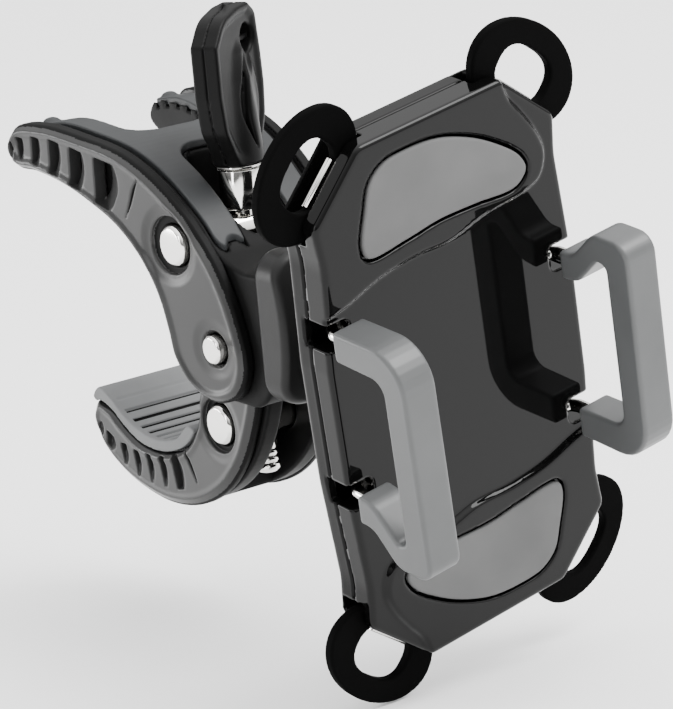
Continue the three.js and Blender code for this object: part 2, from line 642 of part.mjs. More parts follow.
const screwPlaces = [[-21, 33], [21, 33], [-21, -33], [21, -33]];
const rearShell = cut(
  prismY(cradleOutline(0), SPLIT, REAR, 0.9),
  prismY(cradleOutline(-2.2), SPLIT - 2, REAR - 2),
);
const rearCover = cut(
  join(
    rearShell,
    turnedY([[0, -22.7], [11, -22.7], [12.4, -24], [14.6, -33], [0, -33]], 0, 0),
    ...screwPlaces.map(([x, z]) => barY(3.4, SPLIT, REAR - 1, x, z, 10)),
    barY(5.6, -34.7, -33, 0, 0),
  ),
  pockets,
  rodPockets,
  rodSlots,
  barY(4 + RUN, -40, -20, 0, 0),
  ...screwPlaces.map(([x, z]) => barY(1.6, -40, -30, x, z, 10)),
  ...screwPlaces.map(([x, z]) => barY(2.9, -33.6, -30, x, z, 16)),
);
addPart('cradle_rear_cover', rearCover, shellBlack);
screwPlaces.forEach(([x, z], i) => addPart(`cradle_screw_${i + 1}`, cut(
  turnedY([[0, -32.3], [2.5, -32.3], [2.5, -33.3], [1.2, -33.3], [1.2, -41.4], [0, -41.4]], x, z, 12),
  prismY(rectangle(z - 1.5, x - 0.3, z + 1.5, x + 0.3), -32.9, -30),
  prismY(rectangle(z - 0.3, x - 1.5, z + 0.3, x + 1.5), -32.9, -30),
), darkSteel));

// ---- Front shell ----

// the middle of the face is sunk between two raised end panels; the step sweeps in a curve, point-symmetric
const stepCurve = [
  [26.9, -34], [28, -27.5], [30.6, -18], [31.5, -8.5], [31.2, 1.5], [33, 10.5], [33.8, 22],
  [35.4, 26.2], [40, 28], [45, 26.6], [50.5, 23.4], [55, 20.4], [62, 18.6],
];
const stepLine = new THREE.SplineCurve(stepCurve.map(([z, x]) => new THREE.Vector2(z, x)))
  .getSpacedPoints(18);
const sunkShape = new THREE.Shape([
  ...stepLine,
  new THREE.Vector2(62, 40),
  ...stepLine.map((p) => new THREE.Vector2(-p.x, -p.y)),
  new THREE.Vector2(-62, -40),
]);
const phonePadOutline = [
  [35.8, -20.6], [38.6, -21.6], [46, -19.6], [51.4, -17.4], [54.2, -13.4], [54.8, -7], [54, 1],
  [51, 9], [47.1, 15.5], [42, 21.4], [38.6, 22.6], [35.8, 19.6], [36.4, 8], [36.8, -1.4], [36, -10],
];
const padShape = (grow) => splineShape(phonePadOutline.map(([z, x]) => {
  const fromMid = new THREE.Vector2(z - 44, x);
  return [44 + fromMid.x * (1 + grow / 9), fromMid.y * (1 + grow / 21)];
}), 26);
const turned = (solid) => solid.rotate([0, 180, 0]);
const padRoom = prismY(padShape(0.3), FRONT - 4, FRONT + 1.3);

const frontShell = cut(
  prismY(cradleOutline(0), FRONT, SPLIT - 0.3, 1),
  prismY(cradleOutline(-2.2), FRONT + 2.6, SPLIT + 2),
);
const frontCover = cut(
  join(
    frontShell,
    ...screwPlaces.map(([x, z]) => barY(3.4, FRONT + 2, SPLIT - 0.3, x, z, 10)),
    ...rodPlaces.map(([side, z]) => {
      const [left, right] = reach(side, 25.2, 31);
      return block(left, FRONT + 2, z - 4.6, right, SPLIT - 0.3, z + 4.6);
    }),
    barY(1.9, FRONT + 2, -38.3, 0, 0),
  ),
  prismY(sunkShape, FRONT - 4, FRONT + PANEL_DROP),
  padRoom,
  turned(padRoom),
  pockets,
  rodPockets,
  rodSlots,
  ...screwPlaces.map(([x, z]) => barY(1.5, -41.6, -30, x, z, 10)),
);
// hooks that hold the loop pins
const hookSolids = Object.values(CORNERS).flatMap((corner) => [-1, 1].map((end) => {
  const foot = [[4.3, -1.1], [5.4, -1.1], [5.4, 0.9], [4.3, 0.9]];
  const outline = foot.map(([along, out]) => cornerPoint(corner, end * along, out));
  if (corner[0] * corner[1] * end < 0) {
    outline.reverse();
  }
  return prismY(roundedShape(outline), FRONT + 2, LOOP_Y - 1.1);
}));
const pinRoom = Object.values(CORNERS).map((corner) => {
  const [z, x] = cornerPoint(corner, 0, -0.1);
  const angle = Math.atan2(CHAMFER.y * corner[0], CHAMFER.x * corner[1]);
  return (radius, halfLength) => prismZ(circleShape(radius, 0, 0, 16), -halfLength, halfLength)
    .rotate([0, THREE.MathUtils.radToDeg(angle), 0]).translate([x, LOOP_Y, z]);
});
const hookedFront = cut(join(frontCover, ...hookSolids), ...pinRoom.map((room) => room(0.85, 9)));
addPart('cradle_front_cover', hookedFront, glossBlack);
Object.entries(CORNERS).forEach(([name, corner], i) => {
  addPart(`loop_pin_${name}`, pinRoom[i](0.8, 5.4), nickel);
  const outer = loopShape(corner, LOOP_LONG, LOOP_SHORT, 1, 28);
  const hole = loopShape(corner, 7.8, 5.5, 0.3, 16);
  const ring = prismY(outer, LOOP_Y - LOOP_THICK / 2, LOOP_Y + LOOP_THICK / 2)
    .subtract(prismY(hole, LOOP_Y - 5, LOOP_Y + 5));
  addPart(`corner_loop_${name}`, ring, loopBlack);
});

const phonePad = prismY(padShape(0), FRONT + 1.3 - PAD_THICK, FRONT + 1, 0.3);
addPart('phone_pad_upper', phonePad, phonePadGrey);
addPart('phone_pad_lower', turned(phonePad), phonePadGrey);

// ---- Grips, rods, carriages and pinion; the right side is the left turned half round ----

const gripOutline = roundedShape([
  [26, -46.8, 0.8], [26.4, -68, 9], [-25.6, -68.2, 4.2], [-25.6, -57.5, 5], [-18.6, -50.6, 4.5],
  [-18.6, -46.6, 0.8], [-12, -46.8, 0.8], [-12.6, -51.6, 5], [-19.6, -58.6, 1.6], [-18.6, -61, 1.6],
  [18.9, -61.2, 3.4], [19.2, -46.8, 0.8],
]);
const gripBody = prism(
  gripOutline, GRIP_IN, GRIP_OUT, new THREE.Matrix4().makeBasis(Z, Y, X.clone().negate()), 0.5,
);
const gripRods = [[ROD_HIGH, -54], [ROD_LOW, -50]];
const leftGrip = cut(
  gripBody, ...gripRods.map(([z, end]) => barY(ROD_R + GAP, end - GAP, -40, -ROD_X, z, 12)),
);
addPart('grip_left', leftGrip, gripGrey);
addPart('grip_right', turned(leftGrip), gripGrey);

function rodSolid(z, end) {
  const bend = 3;
  const path = new THREE.CurvePath();
  const bendStart = new THREE.Vector3(-ROD_X + bend, ROD_Y, z);
  const elbow = new THREE.Vector3(-ROD_X, ROD_Y, z);
  const bendEnd = new THREE.Vector3(-ROD_X, ROD_Y - bend, z);
  path.add(new THREE.LineCurve3(new THREE.Vector3(-11, ROD_Y, z), bendStart));
  path.add(new THREE.QuadraticBezierCurve3(bendStart, elbow, bendEnd));
  path.add(new THREE.LineCurve3(bendEnd, new THREE.Vector3(-ROD_X, end, z)));
  return solidOf(new THREE.ExtrudeGeometry(circleShape(ROD_R, 0, 0, 12), {
    steps: 14,
    extrudePath: path,
    bevelEnabled: false,
  }));
}
gripRods.forEach(([z, end]) => {
  const which = z > 0 ? 'high' : 'low';
  addPart(`grip_rod_left_${which}`, rodSolid(z, end), nickel);
  addPart(`grip_rod_right_${which}`, turned(rodSolid(z, end)), nickel);
});

// rack teeth point at the pinion; shallow teeth with play so that few pinion teeth are not undercut
const MODULE = 2 * PITCH_R / TEETH;
const SLOPE = Math.tan(THREE.MathUtils.degToRad(20));
const PLAY = 0.14;
const rackLine = [];
for (let i = -3; i <= 5; i += 1) {
  const centre = i * Math.PI * MODULE;
  const wide = Math.PI * MODULE / 4 - PLAY / 2 + 0.95 * MODULE * SLOPE;
  const narrow = Math.PI * MODULE / 4 - PLAY / 2 - 0.62 * MODULE * SLOPE;
  rackLine.push([centre - wide, PITCH_R + 0.95 * MODULE], [centre - narrow, PITCH_R - 0.62 * MODULE]);
  rackLine.push([centre + narrow, PITCH_R - 0.62 * MODULE], [centre + wide, PITCH_R + 0.95 * MODULE]);
}
const rackShape = new THREE.Shape([
  [CARRIAGE_OUT, 10], [CARRIAGE_OUT, PITCH_R + 0.95 * MODULE], ...rackLine,
  [18.6, PITCH_R + 0.95 * MODULE], [18.6, 10],
].map(([x, z]) => new THREE.Vector2(z, x)));
const carriage = cut(
  join(
    block(CARRIAGE_OUT, -37.4, -18.4, -10, -34.6, 25),
    block(CARRIAGE_OUT, -41, 19, -10, -34.6, 25),
    block(CARRIAGE_OUT, -41, -18.4, -10, -34.6, -12),
    block(CARRIAGE_OUT, -41, PITCH_R + 0.95 * MODULE, -10, -34.6, 10),
    prismY(rackShape, -41, -37.9),
  ),
  ...gripRods.map(([z]) => prismX(circleShape(ROD_R + GAP, ROD_Y, z, 12), -17, -10.8)),
);
addPart('carriage_left', carriage, nylon);
addPart('carriage_right', turned(carriage), nylon);

const involute = (roll) => {
  const base = PITCH_R * Math.cos(THREE.MathUtils.degToRad(20));
  return [base * Math.hypot(1, roll), roll - Math.atan(roll)];
};
const atPitch = Math.tan(THREE.MathUtils.degToRad(20));
const toothHalf = Math.PI / TEETH / 2 - PLAY / 2 / PITCH_R;
const pinionPoints = [];
for (let i = 0; i < TEETH; i += 1) {
  const middle = Math.PI / 2 + 2 * Math.PI * (i + 0.5) / TEETH;
  const flank = [0, 0.3, 0.5].map((roll) => {
    const [radius, angle] = involute(roll);
    return [radius, toothHalf + involute(atPitch)[1] - angle];
  });
  pinionPoints.push([PITCH_R - MODULE, middle - flank[0][1]]);
  flank.forEach(([radius, angle]) => pinionPoints.push([radius, middle - angle]));
  flank.reverse().forEach(([radius, angle]) => pinionPoints.push([radius, middle + angle]));
  pinionPoints.push([PITCH_R - MODULE, middle + flank.at(-1)[1]]);
}
const pinionShape = new THREE.Shape(
  pinionPoints.map(([r, a]) => new THREE.Vector2(r * Math.sin(a), r * Math.cos(a))),
);
const pinion = cut(prismY(pinionShape, -41, -38.5), barY(1.9 + RUN, -50, -30, 0, 0));
addPart('sync_pinion', pinion, nylon);

// return springs lie along x between a post of the rear cover and the carriage
const springLeft = coil(1.9, 0.35, 5, 17, 35);
springLeft.rotateY(-Math.PI / 2);
springLeft.translate(7.6, -38.9, 13.4);
addPart('grip_spring_left', springLeft, darkSteel);
const springRight = springLeft.clone().rotateY(Math.PI);
addPart('grip_spring_right', springRight, darkSteel);

export default mount;
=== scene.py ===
"""Looks of the phone handlebar mount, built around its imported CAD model.

Mouldings are modelled as distance fields in millimetres and turned into meshes by surface nets, which gives
them the soft edges, scoops and fillets of moulded plastic. Turned and drawn metal keeps its CAD mesh.
"""

import json
import math

import bpy
import numpy as np
from mathutils import Matrix, Vector

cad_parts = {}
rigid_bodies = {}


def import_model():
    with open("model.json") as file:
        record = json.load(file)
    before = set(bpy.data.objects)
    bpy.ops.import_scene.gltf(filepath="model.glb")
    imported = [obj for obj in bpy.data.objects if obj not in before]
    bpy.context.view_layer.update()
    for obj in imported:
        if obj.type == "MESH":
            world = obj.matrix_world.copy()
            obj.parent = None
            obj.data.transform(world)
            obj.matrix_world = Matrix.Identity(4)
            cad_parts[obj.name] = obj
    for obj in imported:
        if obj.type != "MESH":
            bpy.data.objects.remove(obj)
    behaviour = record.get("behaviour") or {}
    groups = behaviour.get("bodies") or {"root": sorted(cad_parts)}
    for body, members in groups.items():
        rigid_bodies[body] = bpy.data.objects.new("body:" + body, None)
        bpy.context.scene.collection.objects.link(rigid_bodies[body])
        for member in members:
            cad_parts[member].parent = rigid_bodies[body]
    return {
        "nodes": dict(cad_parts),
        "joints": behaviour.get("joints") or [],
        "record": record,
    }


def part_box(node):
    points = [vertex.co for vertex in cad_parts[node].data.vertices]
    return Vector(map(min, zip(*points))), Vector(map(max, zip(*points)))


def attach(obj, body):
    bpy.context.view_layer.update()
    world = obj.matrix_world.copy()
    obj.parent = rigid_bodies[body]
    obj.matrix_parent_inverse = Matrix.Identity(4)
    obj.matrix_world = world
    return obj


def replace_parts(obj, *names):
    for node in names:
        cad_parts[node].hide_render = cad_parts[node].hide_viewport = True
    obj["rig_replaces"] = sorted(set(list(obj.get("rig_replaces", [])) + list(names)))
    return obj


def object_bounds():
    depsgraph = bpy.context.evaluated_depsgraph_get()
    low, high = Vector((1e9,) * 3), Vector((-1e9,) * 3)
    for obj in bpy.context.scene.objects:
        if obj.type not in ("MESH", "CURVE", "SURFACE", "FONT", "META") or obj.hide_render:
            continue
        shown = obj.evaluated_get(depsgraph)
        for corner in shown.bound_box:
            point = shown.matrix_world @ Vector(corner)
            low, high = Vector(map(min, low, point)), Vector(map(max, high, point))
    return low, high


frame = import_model()
CAD_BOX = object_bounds()
MM = 0.001
COARSE = 1.0
JOINTS = {joint["name"]: joint for joint in frame["joints"]}


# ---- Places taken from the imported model, in millimetres ----

def middle(node):
    low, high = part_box(node)
    return (low + high) / 2 / MM


def reach(node):
    low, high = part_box(node)
    return low / MM, high / MM


TRUNNION = middle("upper_trunnion")
PIVOT = middle("jaw_pivot_pin")
NUT = middle("barrel_nut")
BALL = Vector(JOINTS["ball_tilt"]["pos_m"]) / MM
CRADLE_X = -Vector(JOINTS["left_grip_slide"]["axis"])
CRADLE_Y = -Vector(JOINTS["cradle_swivel"]["axis"])
CRADLE = Matrix((CRADLE_X, CRADLE_Y, CRADLE_X.cross(CRADLE_Y))).transposed()

FLARE = 0.0051
COVER_OUT, COVER_IN, CORE_HALF, WALL_IN, PLATE_HALF = 20.5, 17.0, 16.7, 13.4, 15.2
LOWER_OUT, LOWER_COVER_IN, LOWER_CORE, SLOT_HALF = 12.9, 10.0, 9.7, 7.2
TRUNNION_R, PIVOT_R, BOLT_R, BOSS_R, CUP_R = 4.7, 3.3, 3.0, 14.0, 10.1
FRONT, REAR, SPLIT, DROP = -44.0, -32.0, -37.0, 1.2
HALF_H, HALF_W, TOP_HALF, SIDE_HALF = 60.0, 32.9, 19.2, 46.9


# ---- Flat outlines ----

def spline(points, closed=True, per_span=7):
    """A smooth line through the points (centripetal Catmull-Rom)."""
    p = np.array(points, float)
    n = len(p)
    line = []
    for i in range(n if closed else n - 1):
        a, b = p[i], p[(i + 1) % n]
        before = p[i - 1] if closed or i else 2 * a - b
        after = p[(i + 2) % n] if closed or i < n - 2 else 2 * b - a
        d0, d1, d2 = (max(np.hypot(*(v - u)), 1e-6) ** 0.5 for u, v in ((before, a), (a, b), (b, after)))
        m0 = ((a - before) / d0 - (b - before) / (d0 + d1) + (b - a) / d1) * d1
        m1 = ((b - a) / d1 - (after - a) / (d1 + d2) + (after - b) / d2) * d1
        for k in range(per_span):
            t = k / per_span
            line.append(a + m0 * t + (3 * (b - a) - 2 * m0 - m1) * t * t + (2 * (a - b) + m0 + m1) * t ** 3)
    if not closed:
        line.append(p[-1])
    return line


def rounded(corners, steps=6):
    """A polygon whose corners are rounded by the third number of each point."""
    line = []
    n = len(corners)
    for i, corner in enumerate(corners):
        here = np.array(corner[:2], float)
        radius = corner[2] if len(corner) > 2 else 0
        if not radius:
            line.append(here)
            continue
        to_before = np.array(corners[i - 1][:2], float) - here
        to_after = np.array(corners[(i + 1) % n][:2], float) - here
        to_before /= np.hypot(*to_before)
        to_after /= np.hypot(*to_after)
        half = math.acos(np.clip(to_before @ to_after, -1, 1)) / 2
        bisector = to_before + to_after
        centre = here + bisector / np.hypot(*bisector) * radius / math.sin(half)
        start = here + to_before * radius / math.tan(half) - centre
        end = here + to_after * radius / math.tan(half) - centre
        angle = math.atan2(start[1], start[0])
        turn = math.remainder(math.atan2(end[1], end[0]) - angle, 2 * math.pi)
        line += [centre + radius * np.array([math.cos(angle + turn * k / steps),
                                             math.sin(angle + turn * k / steps)])
                 for k in range(steps + 1)]
    return line


def polygon(line):
    """Signed distance to a closed line in the plane, negative inside."""
    p = np.array(line, np.float32)
    spans = [(a, b) for a, b in zip(p, np.roll(p, -1, 0)) if np.hypot(*(b - a)) > 1e-5]

    def distance(u, v):
        u, v = np.broadcast_arrays(np.asarray(u, np.float32), np.asarray(v, np.float32))
        near = np.full(u.shape, 1e9, np.float32)
        inside = np.zeros(u.shape, bool)
        for (au, av), (bu, bv) in spans:
            eu, ev = bu - au, bv - av
            wu, wv = u - au, v - av
            t = np.clip((wu * eu + wv * ev) / (eu * eu + ev * ev), 0, 1)
            near = np.minimum(near, (wu - eu * t) ** 2 + (wv - ev * t) ** 2)
            if av != bv:
                inside ^= ((av <= v) != (bv <= v)) & (wu < wv * eu / ev)
        return np.where(inside, -1, 1) * np.sqrt(near)

    return distance


# ---- Solid fields ----

def meet(a, b, blend=0.0):
    sharp = np.maximum(a, b)
    return sharp if blend <= 0 else sharp + np.maximum(blend - np.abs(a - b), 0) ** 2 / (4 * blend)


def join(a, b, blend=0.0):
    return -meet(-a, -b, blend)


def cut(a, tool, blend=0.0):
    return meet(a, -tool, blend)


def slab(t, low, high):
    return np.abs(t - (low + high) / 2) - (high - low) / 2


def rounded_meet(a, b, radius):
    """Both at once, with a rounded outer edge."""
    a, b = a + radius, b + radius
    return np.minimum(np.maximum(a, b), 0) + np.hypot(np.maximum(a, 0), np.maximum(b, 0)) - radius


def rod(u, v, radius):
    return np.hypot(u, v) - radius


def box2(u, v, half_u, half_v, radius=0.0):
    return rounded_meet(np.abs(u) - half_u, np.abs(v) - half_v, radius)


def ease(t):
    t = np.clip(t, 0, 1)
    return t * t * (3 - 2 * t)


def surface_net(field, low, high, step):
    """Vertices and quads of the field's zero level inside the box."""
    step *= COARSE
    axes = [np.arange(a - 2 * step, b + 3 * step, step, dtype=np.float32) for a, b in zip(low, high)]
    grid = np.meshgrid(*axes, indexing="ij", sparse=True)
    value = np.empty([len(a) for a in axes], np.float32)
    value[...] = field(*grid)
    inside = value < 0
    for axis in range(3):
        edge = [slice(None)] * 3
        for edge[axis] in (0, -1):
            inside[tuple(edge)] = False
            value[tuple(edge)] = np.maximum(value[tuple(edge)], 0.1)
    cells = np.array(value.shape) - 1
    stride = np.array([cells[1] * cells[2], cells[2], 1])
    owners, points, quads = [], [], []
    for axis in range(3):
        u, v = (axis + 1) % 3, (axis + 2) % 3
        first = [slice(None)] * 3
        second = [slice(None)] * 3
        first[axis], second[axis] = slice(None, -1), slice(1, None)
        first, second = tuple(first), tuple(second)
        index = np.argwhere(inside[first] != inside[second])
        a, b = value[first][tuple(index.T)], value[second][tuple(index.T)]
        point = index.astype(float)
        point[:, axis] += a / (a - b)
        corner = []
        for du, dv in ((1, 1), (0, 1), (0, 0), (1, 0)):
            cell = index.copy()
            cell[:, u] -= du
            cell[:, v] -= dv
            corner.append(cell @ stride)
            owners.append(corner[-1])
            points.append(point)
        quad = np.stack(corner, 1)
        flip = a >= 0
        quad[flip] = quad[flip][:, ::-1]
        quads.append(quad)
    owners, points, quads = np.concatenate(owners), np.concatenate(points), np.concatenate(quads)
    count = np.bincount(owners, minlength=cells.prod())
    used = np.flatnonzero(count)
    number = np.full(cells.prod(), -1)
    number[used] = np.arange(len(used))
    place = np.stack([np.bincount(owners, points[:, k], cells.prod())[used] for k in range(3)], 1)
    place = place / count[used][:, None] * step + np.array([a[0] for a in axes])
    # one step of each point straight onto the surface
    h = 0.2 * step
    at = [place[:, k].astype(np.float32) for k in range(3)]
    here = field(*at)
    slope = np.stack([field(*[c + h * (j == k) for j, c in enumerate(at)]) - here for k in range(3)], 1) / h
    move = -(here / np.maximum((slope ** 2).sum(1), 0.2))[:, None] * slope
    length = np.linalg.norm(move, axis=1, keepdims=True)
    place = place + move * np.minimum(1, 0.45 * step / np.maximum(length, 1e-9))
    return place, number[quads]


# ---- Materials ----

def nodes_of(material):
    material.use_nodes = True
    tree = material.node_tree
    return tree, tree.nodes["Principled BSDF"], tree.links


def finish(name, colour, roughness, metallic=0.0, shade=0.08, shade_size=14.0, rough_range=0.06, grain=0.25,
           grain_height=0.01, specular=0.5, coat=0.0, stretch=(1, 1, 1)):
    """A moulded or metal finish: soft drift of colour and roughness, and a fine grain in relief. Sizes in mm."""
    material = bpy.data.materials.new(name)
    tree, shader, links = nodes_of(material)
    shader.inputs["Metallic"].default_value = metallic
    shader.inputs["Specular IOR Level"].default_value = specular
    shader.inputs["Coat Weight"].default_value = coat
    shader.inputs["Coat Roughness"].default_value = 0.04
    where = tree.nodes.new("ShaderNodeTexCoord")
    mapping = tree.nodes.new("ShaderNodeMapping")
    mapping.inputs["Scale"].default_value = stretch
    links.new(where.outputs["Object"], mapping.inputs["Vector"])

    def noise(size, detail):
        node = tree.nodes.new("ShaderNodeTexNoise")
        node.inputs["Scale"].default_value = 1 / (size * MM)
        node.inputs["Detail"].default_value = detail
        links.new(mapping.outputs["Vector"], node.inputs["Vector"])
        return node

    drift = noise(shade_size, 3)
    ramp = tree.nodes.new("ShaderNodeValToRGB")
    for stop, share in zip(ramp.color_ramp.elements, (1 - shade, 1 + shade)):
        stop.color = (*[min(1, c * share) for c in colour], 1)
    ramp.color_ramp.elements[0].position = 0.3
    ramp.color_ramp.elements[1].position = 0.7
    links.new(drift.outputs["Fac"], ramp.inputs["Fac"])
    links.new(ramp.outputs["Color"], shader.inputs["Base Color"])
    smear = noise(shade_size * 0.35, 4)
    spread = tree.nodes.new("ShaderNodeMapRange")
    spread.inputs["To Min"].default_value = max(roughness - rough_range, 0.02)
    spread.inputs["To Max"].default_value = roughness + rough_range
    links.new(smear.outputs["Fac"], spread.inputs["Value"])
    links.new(spread.outputs["Result"], shader.inputs["Roughness"])
    if grain_height > 0:
        speckle = noise(grain, 2)
        bump = tree.nodes.new("ShaderNodeBump")
        bump.inputs["Distance"].default_value = grain_height * MM
        bump.inputs["Strength"].default_value = 1.0
        links.new(speckle.outputs["Fac"], bump.inputs["Height"])
        links.new(bump.outputs["Normal"], shader.inputs["Normal"])
    return material


def tone(level, tint=(1, 1, 1)):
    """Linear colour of a grey given as it looks on screen, 0 to 255."""
    c = level / 255
    linear = c / 12.92 if c <= 0.04045 else ((c + 0.055) / 1.055) ** 2.4
    return tuple(linear * t for t in tint)


LOOKS = {
    "cover": finish("satin_charcoal", tone(42), 0.32, specular=0.3, grain_height=0.005),
    "core": finish("textured_black", tone(11), 0.5, specular=0.07, grain=0.45, grain_height=0.02),
    "top_plate": finish("satin_blue_grey", tone(46, (0.95, 1, 1.04)), 0.46, specular=0.2, grain_height=0.005),
    "jaw_rubber": finish("jaw_rubber", tone(104, (0.98, 1, 1.01)), 0.62, specular=0.2, grain_height=0.012),
    "nickel": finish("polished_nickel", tone(240, (1, 0.985, 0.95)), 0.1, metallic=1, shade=0.03,
                     grain_height=0),
    "knob": finish("textured_knob", tone(10), 0.4, specular=0.09, grain=0.4, grain_height=0.018),
    "ring": finish("textured_ring", tone(20), 0.42, specular=0.18, grain=0.4, grain_height=0.014),
    "spring_steel": finish("spring_wire", tone(170), 0.25, metallic=1, grain_height=0, stretch=(1, 1, 6)),
    "dark_steel": finish("dark_steel", tone(130), 0.28, metallic=1, shade=0.06, grain_height=0),
    "nylon": finish("natural_nylon", tone(190, (1, 0.99, 0.93)), 0.45, grain_height=0.004),
    "shell": finish("gloss_shell", tone(10), 0.16, rough_range=0.04, grain_height=0, specular=0.1),
    "gloss_front": finish("mirror_black", tone(6), 0.03, shade=0.04, rough_range=0.012, grain_height=0,
                          specular=0.17),
    "loop_rubber": finish("loop_rubber", tone(7), 0.6, specular=0.01, grain_height=0.01),
    "phone_pad": finish("pad_rubber", tone(90), 0.7, specular=0.15, grain_height=0.012),
    "grip": finish("satin_grip", tone(76, (0.97, 1, 1.01)), 0.38, specular=0.4, grain_height=0.003),
}


# ---- Turning a field into a piece ----

def piece(name, field, low, high, step, body, slot, *replaced, in_cradle=False, edge=None):
    """A piece from its field. The faces where edge(x, y, z) holds are left black: painted shade and painted dark
    reflection on rims, recesses and grooves.
    """
    place, quads = surface_net(field, low, high, step)
    middles = place[quads].mean(axis=1)
    if in_cradle:
        place = place @ np.array(CRADLE).T + np.array(BALL)
    mesh = bpy.data.meshes.new(name)
    mesh.from_pydata((place * MM).tolist(), [], quads.tolist())
    mesh.polygons.foreach_set("use_smooth", np.ones(len(quads), bool))
    mesh.materials.append(LOOKS[slot])
    # painted shade: faces picked by edge get the black core finish as a second slot
    if edge:
        mesh.materials.append(LOOKS["core"])
        mesh.polygons.foreach_set("material_index", edge(*middles.T).astype(np.int32))
    obj = bpy.data.objects.new(name, mesh)
    bpy.context.scene.collection.objects.link(obj)
    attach(obj, body)
    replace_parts(obj, *(replaced or [name.removesuffix("_look")]))
    return obj


# ---- Upper jaw ----

UPPER_OUTLINE = [
    (31.6, 38.8), (28.4, 43.8), (18, 45.2), (4.5, 43.8), (-9, 41.4), (-20.5, 36.2), (-31, 28.2),
    (-39.5, 17.8), (-44.5, 6), (-46, -3), (-42.6, -9.8), (-35, -12.6), (-27, -10.2), (-22, -4),
    (-20.4, 2.5), (-18, 10.2), (-13, 17.8), (-6, 23.9), (3, 28.4), (12, 31.8), (22, 34), (28.8, 34.6),
]
CORE_OUTLINE = [
    (30.2, 38.8), (27.2, 43), (16.5, 44.2), (4.5, 43), (-8.5, 40.6), (-20, 35.4), (-30.5, 27.4),
    (-37, 20.6), (-44, 17.6), (-50.4, 16.6), (-50.6, 6), (-50.6, -8), (-46.5, -12.4), (-39, -12.6),
    (-31, -11.8), (-25.5, -8.4), (-22, -2.5), (-20.8, 3), (-18, 11.5), (-12, 20.2), (-4, 26.4),
    (6, 31), (16, 34.2), (26, 36),
]
LINING_OUTLINE = [
    (26.8, 35.2), (20, 34.9), (12, 33), (3, 29.6), (-6, 25), (-12.6, 19.2), (-17.2, 12.6),
    (-15.2, 11.6), (-10.2, 17.4), (-3.4, 22.3), (4.4, 26.2), (12.6, 29.6), (21, 32), (26.6, 33),
]
TOP_LINE = [
    (34, 42.4), (26, 43), (16.5, 44.4), (4.5, 43.2), (-8.5, 40.8), (-20, 35.6), (-30.5, 27.6),
    (-36.9, 20.8), (-44, 17.4),
]
# each scoop's (y, z) corners: deep upper, shallow upper, shallow lower, deep lower; then the hole's share
UPPER_SCOOPS = [
    ([(29.6, 41.0), (28.8, 40.9), (28.6, 36.3), (29.3, 36.6)], 0.4),
    ([(27.4, 41.9), (24.9, 41.5), (24.6, 36.5), (26.9, 36.8)], 0.5),
    ([(21.8, 42.5), (18.5, 41.9), (18.9, 35.4), (22.2, 36.3)], 0.5),
    ([(15.4, 42.4), (11.0, 41.4), (11.8, 33.6), (16.0, 34.6)], 0.48),
    ([(8.2, 41.2), (2.6, 40.0), (3.6, 31.2), (8.9, 32.3)], 0.46),
    ([(-0.4, 39.7), (-11.6, 37.6), (-5.1, 27.6), (0.2, 29.4)], 0.32),
]
SLIT = [(-15.5, 36.2), (-13.3, 33.6), (-11.8, 30.4), (-10.2, 26.9), (-12.9, 31.2), (-14.4, 34.2)]


def unflared(x, y):
    """The upper jaw widens evenly towards its tips."""
    return x / (1 + FLARE * (y - TRUNNION.y))


def scoop(y, z, depth, corners, hole, thick):
    """A window whose floor ramps up from a D-shaped hole at its deep edge to nothing at its shallow one."""
    c = np.array(corners)
    window = polygon(rounded([(*p, 0.45) for p in c]))(y, z)
    deep, shallow = (c[0] + c[3]) / 2, (c[1] + c[2]) / 2
    run = shallow - deep
    width = np.hypot(*run)
    run = run / width
    height = np.hypot(*(c[0] - c[3]))
    along = (y - deep[0]) * run[0] + (z - deep[1]) * run[1]
    across = (y - deep[0]) * -run[1] + (z - deep[1]) * run[0]
    share = along / width + 0.25 * (2 * across / height) ** 2
    ramp = np.minimum(0.45 * (1 - share) * width, thick)
    return meet(window, np.minimum(0.9 * (depth - ramp), 0.9 * (share - hole) * width), 0.2)


upper_outline = polygon(spline(UPPER_OUTLINE))
slit = polygon(spline(SLIT))


def upper_cover(side):
    def field(x, y, z):
        s = side * unflared(x, y)
        flat = upper_outline(y, z)
        rivet = rod(y - TRUNNION.y - 0.9, z - TRUNNION.z, 0)
        pin = rod(y - PIVOT.y, z - PIVOT.z, 0)
        inset = -flat
        top = COVER_OUT - 0.95 * np.clip(1.5 - inset, 0, 1.5) - 0.5 * ease((inset - 1.7) / 1.6)
        top = top - 0.5 * ease((9.6 - rivet) / 2.6) - 0.35 * ease((7.4 - pin) / 2.8)
        body = meet(rounded_meet(flat, s - top, 0.25), COVER_IN - s)
        body = cut(body, meet(rivet - 6.6, COVER_OUT - 1.9 - s), 0.35)
        body = cut(body, rod(y - TRUNNION.y, z - TRUNNION.z, TRUNNION_R + 0.3), 0.2)
        body = cut(body, meet(pin - PIVOT_R - 0.9, COVER_OUT - 1.5 - s), 0.3)
        body = cut(body, pin - PIVOT_R - 0.3, 0.15)
        depth = COVER_OUT - 0.5 - s
        for corners, hole in UPPER_SCOOPS:
            body = cut(body, scoop(y, z, depth, corners, hole, COVER_OUT - 0.5 - COVER_IN), 0.2)
        return cut(body, meet(slit(y, z), depth - 1.6), 0.3)

    node = "upper_cover_" + ("left" if side < 0 else "right")
    low, high = reach(node)
    # painted shade: the rim band and the sunk recesses round the rivet and the pin get the black core finish,
    # standing in for dark reflection and shadow
    def painted_shade_faces(x, y, z):
        around_rivet = rod(y - TRUNNION.y - 0.9, z - TRUNNION.z, 6.5) < 0
        around_pin = rod(y - PIVOT.y, z - PIVOT.z, PIVOT_R + 0.8) < 0
        sunk_in = side * unflared(x, y) < COVER_OUT - 1.2
        return (upper_outline(y, z) > -0.6) | (around_rivet | around_pin) & sunk_in

    piece(node + "_look", field, low, high, 0.36, "upper_jaw", "cover", edge=painted_shade_faces)


upper_cover(-1)
upper_cover(1)

